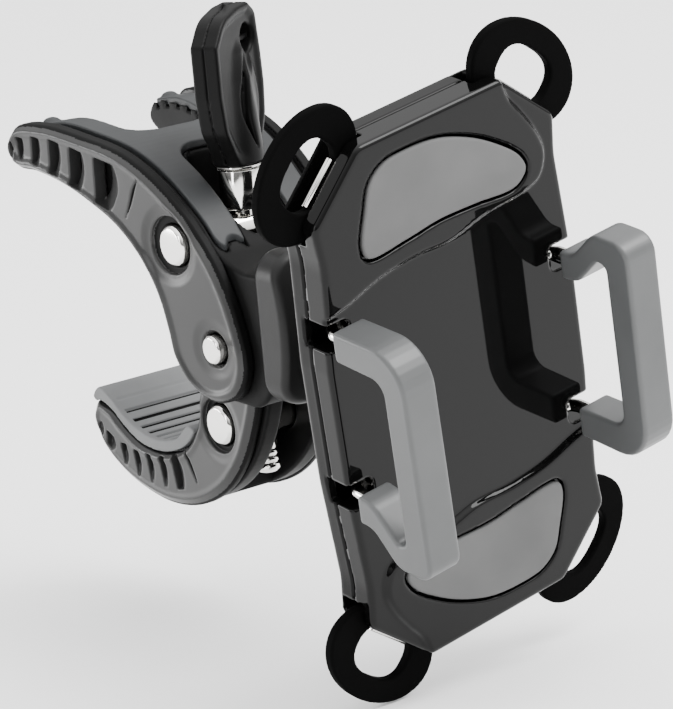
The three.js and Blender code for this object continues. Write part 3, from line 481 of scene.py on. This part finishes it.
core_outline = polygon(spline(CORE_OUTLINE))
lining_outline = polygon(spline(LINING_OUTLINE))
top_line = spline(TOP_LINE, closed=False)
top_band = polygon([(y, z + 0.7) for y, z in top_line] + [(y, z - 1.2) for y, z in reversed(top_line)])
top_room = polygon([(y, z + 20) for y, z in top_line] + [(y, z - 1.5) for y, z in reversed(top_line)])
jaw_gap = polygon(rounded([(-9, -1.8, 6), (9, -1.8, 6), (11.5, 60), (-11.5, 60)]))
ear_room = polygon(rounded([(-46.9, 9.6, 9), (-26, 9.6, 3), (-10, 6), (-10, -30), (-46.9, -30)]))
plate_gap = polygon(rounded([(-9.6, -1.2, 6), (9.6, -1.2, 6), (12, 60), (-12, 60)]))


def plate_outline(x, y, grow):
    flat = box2(x, y + 4.5, PLATE_HALF + grow, 31.9 + grow, 3)
    flat = cut(flat, box2(x, y + 35.4, SLOT_HALF + 0.5 - grow, 24.6 - grow, 5.5), 0.8)
    flat = cut(flat, plate_gap(x, y) + grow, 0.8)
    return cut(flat, rod(np.abs(x) - 10.6, y + 37.4, 3 - grow), 1.2)


def upper_core(x, y, z):
    s = unflared(x, y)
    body = rounded_meet(core_outline(y, z), np.abs(s) - CORE_HALF, 0.8)
    body = cut(body, meet(jaw_gap(s, y), -z), 0.6)
    body = cut(body, meet(plate_outline(s, y, 0.3), top_room(y, z)), 0.2)
    body = cut(body, lining_outline(y, z) - 0.25)
    boss = meet(rod(x - BALL.x, z - BALL.z, BOSS_R), slab(y, -57.6, -46.9), 0.4)
    body = join(body, boss, 1.6)
    body = cut(body, meet(ear_room(y, z), np.abs(x) - WALL_IN), 0.6)
    body = cut(body, meet(box2(x, y + 22.9, SLOT_HALF, 11.6, 5.5), slab(z, -20, 60)), 0.6)
    body = cut(body, rod(y - TRUNNION.y, z - TRUNNION.z, TRUNNION_R + 0.2))
    body = cut(body, rod(y - PIVOT.y, z - PIVOT.z, PIVOT_R + 0.2))
    ball = np.sqrt((x - BALL.x) ** 2 + (y - BALL.y) ** 2 + (z - BALL.z) ** 2) - CUP_R - 0.1
    mouth = meet(rod(x - BALL.x, z - BALL.z, CUP_R + 0.1), slab(y, -62, BALL.y))
    return cut(body, join(ball, mouth), 0.2)


piece("upper_core_look", upper_core, *reach("upper_core"), 0.5, "upper_jaw", "core")


def top_plate(x, y, z):
    s = unflared(x, y)
    body = rounded_meet(plate_outline(s, y, 0), top_band(y, z), 0.3)
    nub = np.sqrt(((np.abs(s) - 13) / 1.7) ** 2 + ((y - 25.6) / 1.8) ** 2 + ((z - 43.6) / 1.3) ** 2) - 1
    return join(body, nub * 1.3, 0.5)


piece("jaw_top_plate_look", top_plate, *reach("jaw_top_plate"), 0.36, "upper_jaw", "top_plate")


def upper_lining(x, y, z):
    s = unflared(x, y)
    body = rounded_meet(lining_outline(y, z), np.abs(s) - CORE_HALF + 0.3, 0.35)
    return cut(body, meet(jaw_gap(s, y), -z), 0.3)


piece("upper_lining_look", upper_lining, *reach("upper_lining"), 0.38, "upper_jaw", "jaw_rubber")

# ---- Lower jaw ----

LOWER_CORE_OUTLINE = [
    (27.6, -27.4), (25.2, -33.2), (18.5, -38.4), (8, -42), (-3, -43.2), (-14, -41.4), (-25, -36.4),
    (-34, -28.6), (-40.4, -18), (-43.6, -7), (-43.6, 3), (-37, 8.2), (-30, 4.6), (-27.4, -2),
    (-24, -9), (-18.6, -15.6), (-16.4, -23), (-12.6, -27.9), (-6, -31), (1, -32.2), (8.6, -31.4),
    (15, -28.6), (20, -25.4), (24.6, -24.2),
]
LOWER_COVER_OUTLINE = [
    (28.2, -27.4), (25.6, -34), (18.8, -39.2), (8, -42.8), (-3, -43.9), (-14, -42), (-24.6, -36.8),
    (-32.4, -29.4), (-38, -20), (-41, -12), (-41.5, -2), (-36.5, 2.8), (-31, 1), (-27, -4.5),
    (-22.5, -10), (-17.6, -15.4), (-15.6, -22.6), (-11.6, -27.4), (-5.4, -30.4), (1, -31.5),
    (8.6, -30.8), (15, -27.8), (20, -24.6), (25.4, -23.6),
]
LOWER_PAD_OUTLINE = [
    (27.2, -23.2), (24.4, -20.4), (19.6, -22.3), (14.6, -25.6), (8.4, -28.1), (0.6, -29), (-7, -27.3),
    (-12.2, -23.4), (-14.6, -24.4), (-11.6, -28.4), (-5.4, -31.2), (1, -32.3), (8.6, -31.6),
    (15, -28.8), (20, -25.6), (25, -24.4),
]
LOWER_SCOOPS = [
    ([(22.6, -30.3), (19.5, -31.7), (18.0, -36.3), (22.4, -33.8)], 0.0),
    ([(16.9, -32.6), (14.4, -32.5), (12.7, -38.4), (15.6, -37.2)], 0.0),
    ([(11.6, -33.1), (9.4, -33.3), (7.2, -39.9), (10.3, -39.2)], 0.2),
    ([(6.2, -33.2), (4.2, -33.4), (1.8, -40.3), (4.9, -39.9)], 0.25),
    ([(1.0, -32.9), (-1.2, -32.9), (-3.8, -40.1), (-0.7, -39.9)], 0.3),
    ([(-4.2, -31.6), (-7.0, -31.0), (-11.2, -38.4), (-5.9, -39.6)], 0.25),
]
LOWER_SLIT = [(-9.5, -28.4), (-12.6, -32.2), (-14.5, -36.6), (-12.9, -34.4), (-10.9, -31.2)]

lower_core_outline = polygon(spline(LOWER_CORE_OUTLINE))
lower_cover_outline = polygon(spline(LOWER_COVER_OUTLINE))
pad_outline = polygon(spline(LOWER_PAD_OUTLINE))
lower_slit = polygon(spline(LOWER_SLIT))
nut_slot = polygon(rounded([(-60, -50), (-17.6, -50), (-17.6, -3.5, 4), (-33, 12), (-60, 12)]))


def lower_core(x, y, z):
    body = rounded_meet(lower_core_outline(y, z), np.abs(x) - LOWER_CORE, 0.6)
    body = cut(body, meet(nut_slot(y, z), np.abs(x) - 5.6), 0.5)
    body = cut(body, rod(y - NUT.y, z - NUT.z, TRUNNION_R + 0.2))
    body = cut(body, rod(y - PIVOT.y, z - PIVOT.z, PIVOT_R + 0.2))
    return cut(body, pad_outline(y, z) - 0.2)


piece("lower_core_look", lower_core, *reach("lower_core"), 0.45, "lower_jaw", "core")


def lower_pad(x, y, z):
    body = rounded_meet(pad_outline(y, z), np.abs(x) - 12.4, 0.35)
    for i in range(11):
        at_y = -9 + 3.05 * i
        at_z = -2.4 - math.sqrt(26.4 ** 2 - (at_y - 2) ** 2) + 0.16 * max(at_y - 14, 0)
        normal = np.array([2 - at_y, -2.4 - at_z])
        normal /= np.hypot(*normal)
        out = (y - at_y) * normal[0] + (z - at_z) * normal[1]
        side = (y - at_y) * normal[1] - (z - at_z) * normal[0]
        groove = meet(np.abs(side) - 0.62 - 0.3 * out, -0.7 - out, 0.3)
        body = cut(body, meet(groove, np.abs(x) - 11), 0.25)
    body = cut(body, lower_core_outline(y, z) + 0.35 + 50 * (np.abs(x) > LOWER_CORE + 0.3))
    return cut(body, meet(lower_cover_outline(y, z) + 0.15, LOWER_COVER_IN - 0.3 - np.abs(x)))


# painted shade: the groove walls and floors of the pad get the black core finish
def painted_groove_shade(x, y, z):
    return (pad_outline(y, z) < -0.4) & (np.abs(x) < 11)


piece("lower_pad_look", lower_pad, *reach("lower_pad"), 0.34, "lower_jaw", "jaw_rubber", edge=painted_groove_shade)


def lower_cover(side):
    def field(x, y, z):
        s = side * x
        flat = lower_cover_outline(y, z)
        nut = rod(y - NUT.y, z - NUT.z, 0)
        pin = rod(y - PIVOT.y, z - PIVOT.z, 0)
        inset = -flat
        top = LOWER_OUT - 0.8 * np.clip(1.9 - inset, 0, 1.9) - 0.25 * ease((inset - 2) / 1.5)
        top = top - 0.35 * ease((9.4 - nut) / 2.6)
        body = meet(rounded_meet(flat, s - top, 0.25), LOWER_COVER_IN - s)
        body = cut(body, pad_outline(y, z) - 0.15)
        body = cut(body, meet(nut - TRUNNION_R - 1.7, LOWER_OUT - 1.8 - s), 0.35)
        body = cut(body, nut - TRUNNION_R - 0.3, 0.2)
        body = cut(body, pin - PIVOT_R - 0.3, 0.15)
        depth = LOWER_OUT - 0.25 - s
        for corners, hole in LOWER_SCOOPS:
            body = cut(body, scoop(y, z, depth, corners, hole, 1.7), 0.2)
        dimple = np.sqrt((y - 24.6) ** 2 + ((z + 30.4) / 1.6) ** 2 + (depth * 0.8) ** 2) - 1
        return cut(cut(body, dimple, 0.3), meet(lower_slit(y, z), depth - 1.2), 0.3)

    node = "lower_cover_" + ("left" if side < 0 else "right")
    # painted shade: the rim band and the sunk recess round the nut get the black core finish, standing in for
    # dark reflection and shadow
    def painted_shade_faces(x, y, z):
        around_nut = rod(y - NUT.y, z - NUT.z, TRUNNION_R + 1.6) < 0
        return (lower_cover_outline(y, z) > -0.6) | around_nut & (side * x < LOWER_OUT - 0.9)

    piece(node + "_look", field, *reach(node), 0.34, "lower_jaw", "cover", edge=painted_shade_faces)


lower_cover(-1)
lower_cover(1)

# ---- Knob ----

KNOB_TURN = 0.55
KNOB_LOW, KNOB_HIGH = reach("clamp_knob")[0].z, reach("clamp_knob")[1].z
WING = [
    (-5.8, KNOB_LOW, 1.4), (-11.6, 46, 8), (-13, 54, 8), (-13, 65.2, 1.2), (-8, 70.4, 9), (0, 71.9, 10),
    (6, KNOB_HIGH, 1.8), (9.6, 69.4, 3), (10.8, 60, 10), (11.2, 53, 8), (10.4, 46, 8), (5.8, KNOB_LOW, 1.4),
]
wing_outline = polygon(rounded(WING))
leaf = polygon(spline([
    (5.2, 61), (2.2, 58), (0.4, 51), (0.8, 44), (3.2, 40.6), (7, 43.6), (8.8, 50), (7.6, 57),
]))
furrow = polygon(spline([(1.4, 62), (-2.4, 55), (-3.2, 48), (-1, 41), (-1.6, 48), (-0.6, 55)]))


def clamp_knob(x, y, z):
    dx, dy = x, y - TRUNNION.y
    a = dx * math.cos(KNOB_TURN) + dy * math.sin(KNOB_TURN)
    b = -dx * math.sin(KNOB_TURN) + dy * math.cos(KNOB_TURN)
    flat = wing_outline(a, z)
    inset = -flat
    facing = a * np.where(b < 0, 1, -1)
    half = 3.2 - 0.7 * ease((inset - 1.2) / 1.6)
    half = half + 0.9 * ease(-leaf(facing, z) / 2.6)
    body = rounded_meet(flat, np.abs(b) - half, 0.7)
    hub = rod(dx, dy, 0) - np.interp(z, [KNOB_LOW, KNOB_LOW + 6, 56, 62, 66], [6, 5.6, 4.5, 2.8, 0])
    body = join(body, rounded_meet(hub, KNOB_LOW - z, 0.5), 2)
    body = cut(body, meet(furrow(facing, z), 3.2 - np.abs(b), 0.4), 0.7)
    body = cut(body, box2(flat + 0.1, b, 0.3, 0.16), 0.2)
    eye = rod(a - 5, z - 64.2, 3.1)
    bar = np.maximum(np.abs(z - 64) - 0.65, np.abs(b) - 1.3)
    body = join(cut(body, eye, 0.9), rounded_meet(np.maximum(eye - 0.5, bar), bar, 0.3))
    return cut(body, meet(rod(dx, dy, BOLT_R + 0.1), z - 57.4))


piece("clamp_knob_look", clamp_knob, *reach("clamp_knob"), 0.36, "knob", "knob")

# ---- Lock ring ----

def lock_ring(x, y, z):
    u, w = x - BALL.x, z - BALL.z
    flat = box2(u, w, 17, 17, 6)
    front = -62.2 + 3.4 * (w / 17) ** 2 + 1.2 * (u / 17) ** 4
    body = meet(rounded_meet(flat, np.maximum(front - y, y + 51.2), 1.6), y + 51.2, 0.2)
    bore = join(meet(rod(u, w, BOSS_R + 0.25), -58 - y), meet(rod(u, w, CUP_R), -61.6 - y), 0.3)
    mouth = rod(u, w, 8.4) - 0.5 * np.maximum(-61 - y, 0)
    return cut(cut(body, bore, 0.2), mouth, 0.5)


piece("lock_ring_look", lock_ring, *reach("lock_ring"), 0.42, "lock_ring", "ring")

# ---- Cradle, in its own frame: x across, y from the phone to the ball, z along the phone ----

def mirrored_quarter(quarter):
    return (
        quarter
        + [(-z, x, r) for z, x, r in reversed(quarter)]
        + [(-z, -x, r) for z, x, r in quarter]
        + [(z, -x, r) for z, x, r in reversed(quarter)]
    )


shell_outline = polygon(rounded(mirrored_quarter([
    (HALF_H, TOP_HALF, 3), (SIDE_HALF, HALF_W, 3), (38, HALF_W - 0.9, 20), (14, HALF_W + 0.5, 20),
]), 8))
CORNERS = {"top_right": (1, 1), "bottom_right": (1, -1), "bottom_left": (-1, -1), "top_left": (-1, 1)}
CHAMFER = np.array([SIDE_HALF - HALF_H, HALF_W - TOP_HALF])
CHAMFER /= np.hypot(*CHAMFER)
OUTWARD = np.array([CHAMFER[1], -CHAMFER[0]])
CORNER_MID = np.array([(HALF_H + SIDE_HALF) / 2, (TOP_HALF + HALF_W) / 2])
LOOP_LONG, LOOP_SHORT, LOOP_OFFSET, LOOP_THICK, LOOP_Y = 15.2, 11.0, 4.0, 2.4, -38.2
SCREWS = [(-21, 33), (21, 33), (-21, -33), (21, -33)]
RODS = [(-1, 22), (-1, -15), (1, -22), (1, 15)]
ROD_Y, ROD_R = -39.6, 1.5


def corner_axes(corner, x, z):
    """Distances along a corner's chamfer and outwards from it."""
    sx, sz = corner
    u, v = z * sz - CORNER_MID[0], x * sx - CORNER_MID[1]
    return u * CHAMFER[0] + v * CHAMFER[1], u * OUTWARD[0] + v * OUTWARD[1]


def oval(along, out, long_half, short_half):
    r = np.sqrt((along / long_half) ** 2 + ((out - LOOP_OFFSET) / short_half) ** 2)
    return (r - 1) * short_half


def nearest_corner(x, z):
    """All four corners at once: the cradle is the same in each."""
    u, v = np.abs(z) - CORNER_MID[0], np.abs(x) - CORNER_MID[1]
    return u * CHAMFER[0] + v * CHAMFER[1], u * OUTWARD[0] + v * OUTWARD[1]


def pockets(x, y, z):
    along, out = nearest_corner(x, z)
    tray = oval(along, out, LOOP_LONG + 0.8, LOOP_SHORT + 0.8)
    return meet(tray, slab(y, LOOP_Y - LOOP_THICK / 2 - 0.4, REAR - 0.9))


def rod_pockets(x, y, z):
    found = 99.0
    for side, at in RODS:
        mouth = meet(box2(z - at, side * x - 33.4, 3, 6.6, 1.6), y + 35.4)
        way = meet(box2(y - ROD_Y, z - at, ROD_R + 0.1, ROD_R + 0.1, 0.2), slab(side * x, 8, 29))
        found = np.minimum(found, np.minimum(mouth, way))
    return found


STEP_LINE = [
    (26.9, -34), (28, -27.5), (30.6, -18), (31.5, -8.5), (31.2, 1.5), (33, 10.5), (33.8, 22),
    (35.4, 26.2), (40, 28), (45, 26.6), (50.5, 23.4), (55, 20.4), (62, 18.6),
]
step_line = [tuple(p) for p in spline(STEP_LINE, closed=False)]
sunk = polygon(step_line + [(62, 40)] + [(-z, -x) for z, x in step_line] + [(-62, -40)])
PAD_LINE = [
    (35.8, -20.6), (38.6, -21.6), (46, -19.6), (51.4, -17.4), (54.2, -13.4), (54.8, -7), (54, 1),
    (51, 9), (47.1, 15.5), (42, 21.4), (38.6, 22.6), (35.8, 19.6), (36.4, 8), (36.8, -1.4), (36, -10),
]
pad_line = polygon(spline(PAD_LINE))


def front_cover(x, y, z):
    flat = shell_outline(z, x)
    drop = DROP * ease((0.3 - sunk(z, x)) / 1.3)
    pad = np.minimum(pad_line(z, x), pad_line(-z, -x))
    body = rounded_meet(flat, FRONT + drop - y, 1.1)
    body = meet(body, y - SPLIT + 0.3, 0.15)
    hollow = meet(flat + 2.2, FRONT + 2.6 - y)
    bosses = 99.0
    for at_x, at_z in SCREWS:
        bosses = np.minimum(bosses, rod(x - at_x, z - at_z, 3.4))
    for side, at in RODS:
        bosses = np.minimum(bosses, box2(z - at, side * x - 28.1, 4.6, 2.9))
    bosses = np.minimum(bosses, rod(x, z, 1.9))
    body = cut(body, cut(hollow, bosses))
    body = cut(body, meet(pad - 0.7, y - FRONT - 1.3), 0.25)
    body = cut(body, pockets(x, y, z), 0.2)
    return cut(body, rod_pockets(x, y, z), 0.25)


def rear_cover(x, y, z):
    flat = shell_outline(z, x)
    body = rounded_meet(flat, y - REAR, 1.4)
    body = meet(body, SPLIT - y, 0.15)
    body = cut(body, meet(flat + 2.2, y - REAR + 2))
    hub = meet(rod(x, z, 14.6) + 0.24 * np.maximum(y + 33, 0), slab(y, -34.7, -22.7), 0.8)
    body = join(body, hub, 1.2)
    screws, heads = 99.0, 99.0
    for at_x, at_z in SCREWS:
        screws = np.minimum(screws, rod(x - at_x, z - at_z, 3.4))
        heads = np.minimum(heads, rod(x - at_x, z - at_z, 2.9))
    body = join(body, meet(screws, slab(y, SPLIT, REAR - 1)), 0.3)
    body = cut(body, meet(heads, -33.6 - y), 0.3)
    body = cut(body, heads + 1.3)
    body = cut(body, rod(x, z, 4.1))
    body = cut(body, pockets(x, y, z), 0.2)
    return cut(body, rod_pockets(x, y, z), 0.25)


piece("cradle_front_cover_look", front_cover, (-33.6, FRONT, -60), (33.6, SPLIT, 60), 0.48,
      "cradle", "gloss_front", in_cradle=True)
piece("cradle_rear_cover_look", rear_cover, (-33.6, SPLIT, -60), (33.6, -22.6, 60), 0.55,
      "cradle", "shell", in_cradle=True)


def corner_loop(name):
    corner = CORNERS[name]
    mid = np.array([CORNER_MID[1] * corner[0], LOOP_Y, CORNER_MID[0] * corner[1]])
    reach_out = np.array([17.5, LOOP_THICK / 2, 17.5])

    def field(x, y, z):
        along, out = corner_axes(corner, x, z)
        ring = oval(along, out, LOOP_LONG, LOOP_SHORT)
        reach_hole = np.abs(along / 7.8) ** 2.6 + np.abs((out - LOOP_OFFSET) / 5.5) ** 2.6
        hole = reach_hole ** (1 / 2.6) * 5.5 - 5.5
        return rounded_meet(cut(ring, hole), np.abs(y - LOOP_Y) - LOOP_THICK / 2, 0.4)

    piece(f"corner_loop_{name}_look", field, mid - reach_out, mid + reach_out, 0.42,
          "loop_" + name, "loop_rubber", in_cradle=True)


for corner_name in CORNERS:
    corner_loop(corner_name)


def phone_pad(turn):
    def field(x, y, z):
        flat = pad_line(turn * z, turn * x)
        crown = FRONT - 0.5 + 0.25 * ease(1 - (-flat) / 6)
        return meet(rounded_meet(flat, crown - y, 0.5), y - FRONT - 1.0)

    low, high = ((-24, FRONT - 0.6, 34), (24, FRONT + 1.1, 56))
    if turn < 0:
        low, high = (-24, FRONT - 0.6, -56), (24, FRONT + 1.1, -34)
    node = "phone_pad_" + ("upper" if turn > 0 else "lower")
    piece(node + "_look", field, low, high, 0.36, "cradle", "phone_pad", in_cradle=True)


phone_pad(1)
phone_pad(-1)

GRIP = [
    (26, -46.8, 0.8), (26.4, -68, 9), (-25.6, -68.2, 4.2), (-25.6, -57.5, 5), (-18.6, -50.6, 4.5),
    (-18.6, -46.6, 0.8), (-12, -46.8, 0.8), (-12.6, -51.6, 5), (-19.6, -58.6, 1.6), (-18.6, -61, 1.6),
    (18.9, -61.2, 3.4), (19.2, -46.8, 0.8),
]
grip_outline = polygon(rounded(GRIP, 8))


def grip(turn):
    def field(x, y, z):
        body = rounded_meet(grip_outline(turn * z, y), slab(turn * x, -34.6, -26.2), 0.8)
        for at, end in ((22, -54.3), (-15, -50.3)):
            body = cut(body, meet(rod(turn * x + 30.4, turn * z - at, ROD_R + 0.15), end - y))
        return body

    side = "left" if turn > 0 else "right"
    low, high = np.array([-34.6, -68.3, -27]), np.array([-26.2, -46.4, 27])
    if turn < 0:
        low, high = low * [-1, 1, 1], high * [-1, 1, 1]
        low[0], high[0] = high[0], low[0]
    piece(f"grip_{side}_look", field, low, high, 0.38, f"{side}_grip", "grip", in_cradle=True)


grip(1)
grip(-1)

# ---- CAD nodes that stay: softened edges and their own finish ----

SLOT_OF = {entry["node"]: entry["material_slot"] for entry in frame["record"]["subparts"]}
REPLACED = {node for obj in bpy.data.objects for node in obj.get("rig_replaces", [])}
for name, obj in frame["nodes"].items():
    obj.data.materials.clear()
    obj.data.materials.append(LOOKS[SLOT_OF[name]])
    if name in REPLACED:
        continue
    weld = obj.modifiers.new("weld", "WELD")
    weld.merge_threshold = 0.00001
    bevel = obj.modifiers.new("soft_edges", "BEVEL")
    bevel.width = 0.00016
    bevel.segments = 2
    bevel.limit_method = "ANGLE"
    bevel.angle_limit = math.radians(38)
    bevel.harden_normals = True
    obj.data.shade_smooth()

# ---- Floor, lights and camera ----

def backdrop():
    """A wide pale sheet that lies flat under the mount."""
    floor_z = CAD_BOX[0].z - 0.0005
    mesh = bpy.data.meshes.new("backdrop")
    mesh.from_pydata([(x, y, floor_z) for x, y in ((-4, -4), (4, -4), (4, 4), (-4, 4))], [], [(0, 1, 2, 3)])
    mesh.materials.append(finish("pale_sheet", tone(250), 0.9, shade=0.004, shade_size=300, grain_height=0,
                                 specular=0.1))
    obj = bpy.data.objects.new("backdrop", mesh)
    bpy.context.scene.collection.objects.link(obj)


VIEW = (math.radians(-35.2), math.radians(14.9), math.radians(5.2))
azimuth, elevation, roll = VIEW
back = Vector((
    math.sin(azimuth) * math.cos(elevation), -math.cos(azimuth) * math.cos(elevation), math.sin(elevation),
))
level = Vector((math.cos(azimuth), math.sin(azimuth), 0))
above = back.cross(level)
right = level * math.cos(roll) - above * math.sin(roll)
up = above * math.cos(roll) + level * math.sin(roll)
camera = bpy.data.objects.new("camera", bpy.data.cameras.new("camera"))
camera.data.lens = 183.96
camera.data.clip_start = 0.05
camera.data.clip_end = 30
turn = Matrix((right, up, back)).transposed().to_4x4()
camera.matrix_world = Matrix.Translation((-0.43947, -0.67878, 0.20060)) @ turn
bpy.context.scene.collection.objects.link(camera)
bpy.context.scene.camera = camera
backdrop()


def softbox(name, place, aim, size, power):
    light = bpy.data.lights.new(name, "AREA")
    light.shape = "RECTANGLE"
    light.size, light.size_y = size
    light.energy = power
    obj = bpy.data.objects.new(name, light)
    facing = (Vector(aim) - Vector(place)).to_track_quat("-Z", "Y")
    obj.matrix_world = Matrix.Translation(place) @ facing.to_matrix().to_4x4()
    bpy.context.scene.collection.objects.link(obj)


CENTRE = (0, -0.05, 0)
softbox("key", (0.6, -0.7, 1.2), CENTRE, (0.8, 0.8), 26)
softbox("left_strip", (-1.3, -0.35, 0.35), CENTRE, (0.2, 1.0), 5)
softbox("left_back", (-0.85, 0.95, 0.14), CENTRE, (0.5, 0.4), 9)


def studio_world():
    """Bright overhead and from the front right, dim elsewhere."""
    world = bpy.data.worlds.new("studio")
    world.use_nodes = True
    tree = world.node_tree
    links = tree.links
    shine = tree.nodes["Background"]
    where = tree.nodes.new("ShaderNodeTexCoord")

    def lobe(direction, power, strength):
        facing = tree.nodes.new("ShaderNodeVectorMath")
        facing.operation = "DOT_PRODUCT"
        facing.inputs[1].default_value = Vector(direction).normalized()
        links.new(where.outputs["Generated"], facing.inputs[0])
        ahead = tree.nodes.new("ShaderNodeMath")
        ahead.operation = "MAXIMUM"
        links.new(facing.outputs["Value"], ahead.inputs[0])
        ahead.inputs[1].default_value = 0
        shaped = tree.nodes.new("ShaderNodeMath")
        shaped.operation = "POWER"
        links.new(ahead.outputs["Value"], shaped.inputs[0])
        shaped.inputs[1].default_value = power
        scaled = tree.nodes.new("ShaderNodeMath")
        scaled.operation = "MULTIPLY"
        links.new(shaped.outputs["Value"], scaled.inputs[0])
        scaled.inputs[1].default_value = strength
        return scaled.outputs["Value"]

    total = tree.nodes.new("ShaderNodeMath")
    total.operation = "ADD"
    links.new(lobe((0, 0, 1), 1.5, 3.4), total.inputs[0])
    links.new(lobe((0.6, -0.75, 0.3), 2, 1.4), total.inputs[1])
    base = tree.nodes.new("ShaderNodeMath")
    base.operation = "ADD"
    links.new(total.outputs["Value"], base.inputs[0])
    base.inputs[1].default_value = 0.12
    links.new(base.outputs["Value"], shine.inputs["Strength"])
    shine.inputs["Color"].default_value = (1, 1, 1, 1)
    bpy.context.scene.world = world


studio_world()
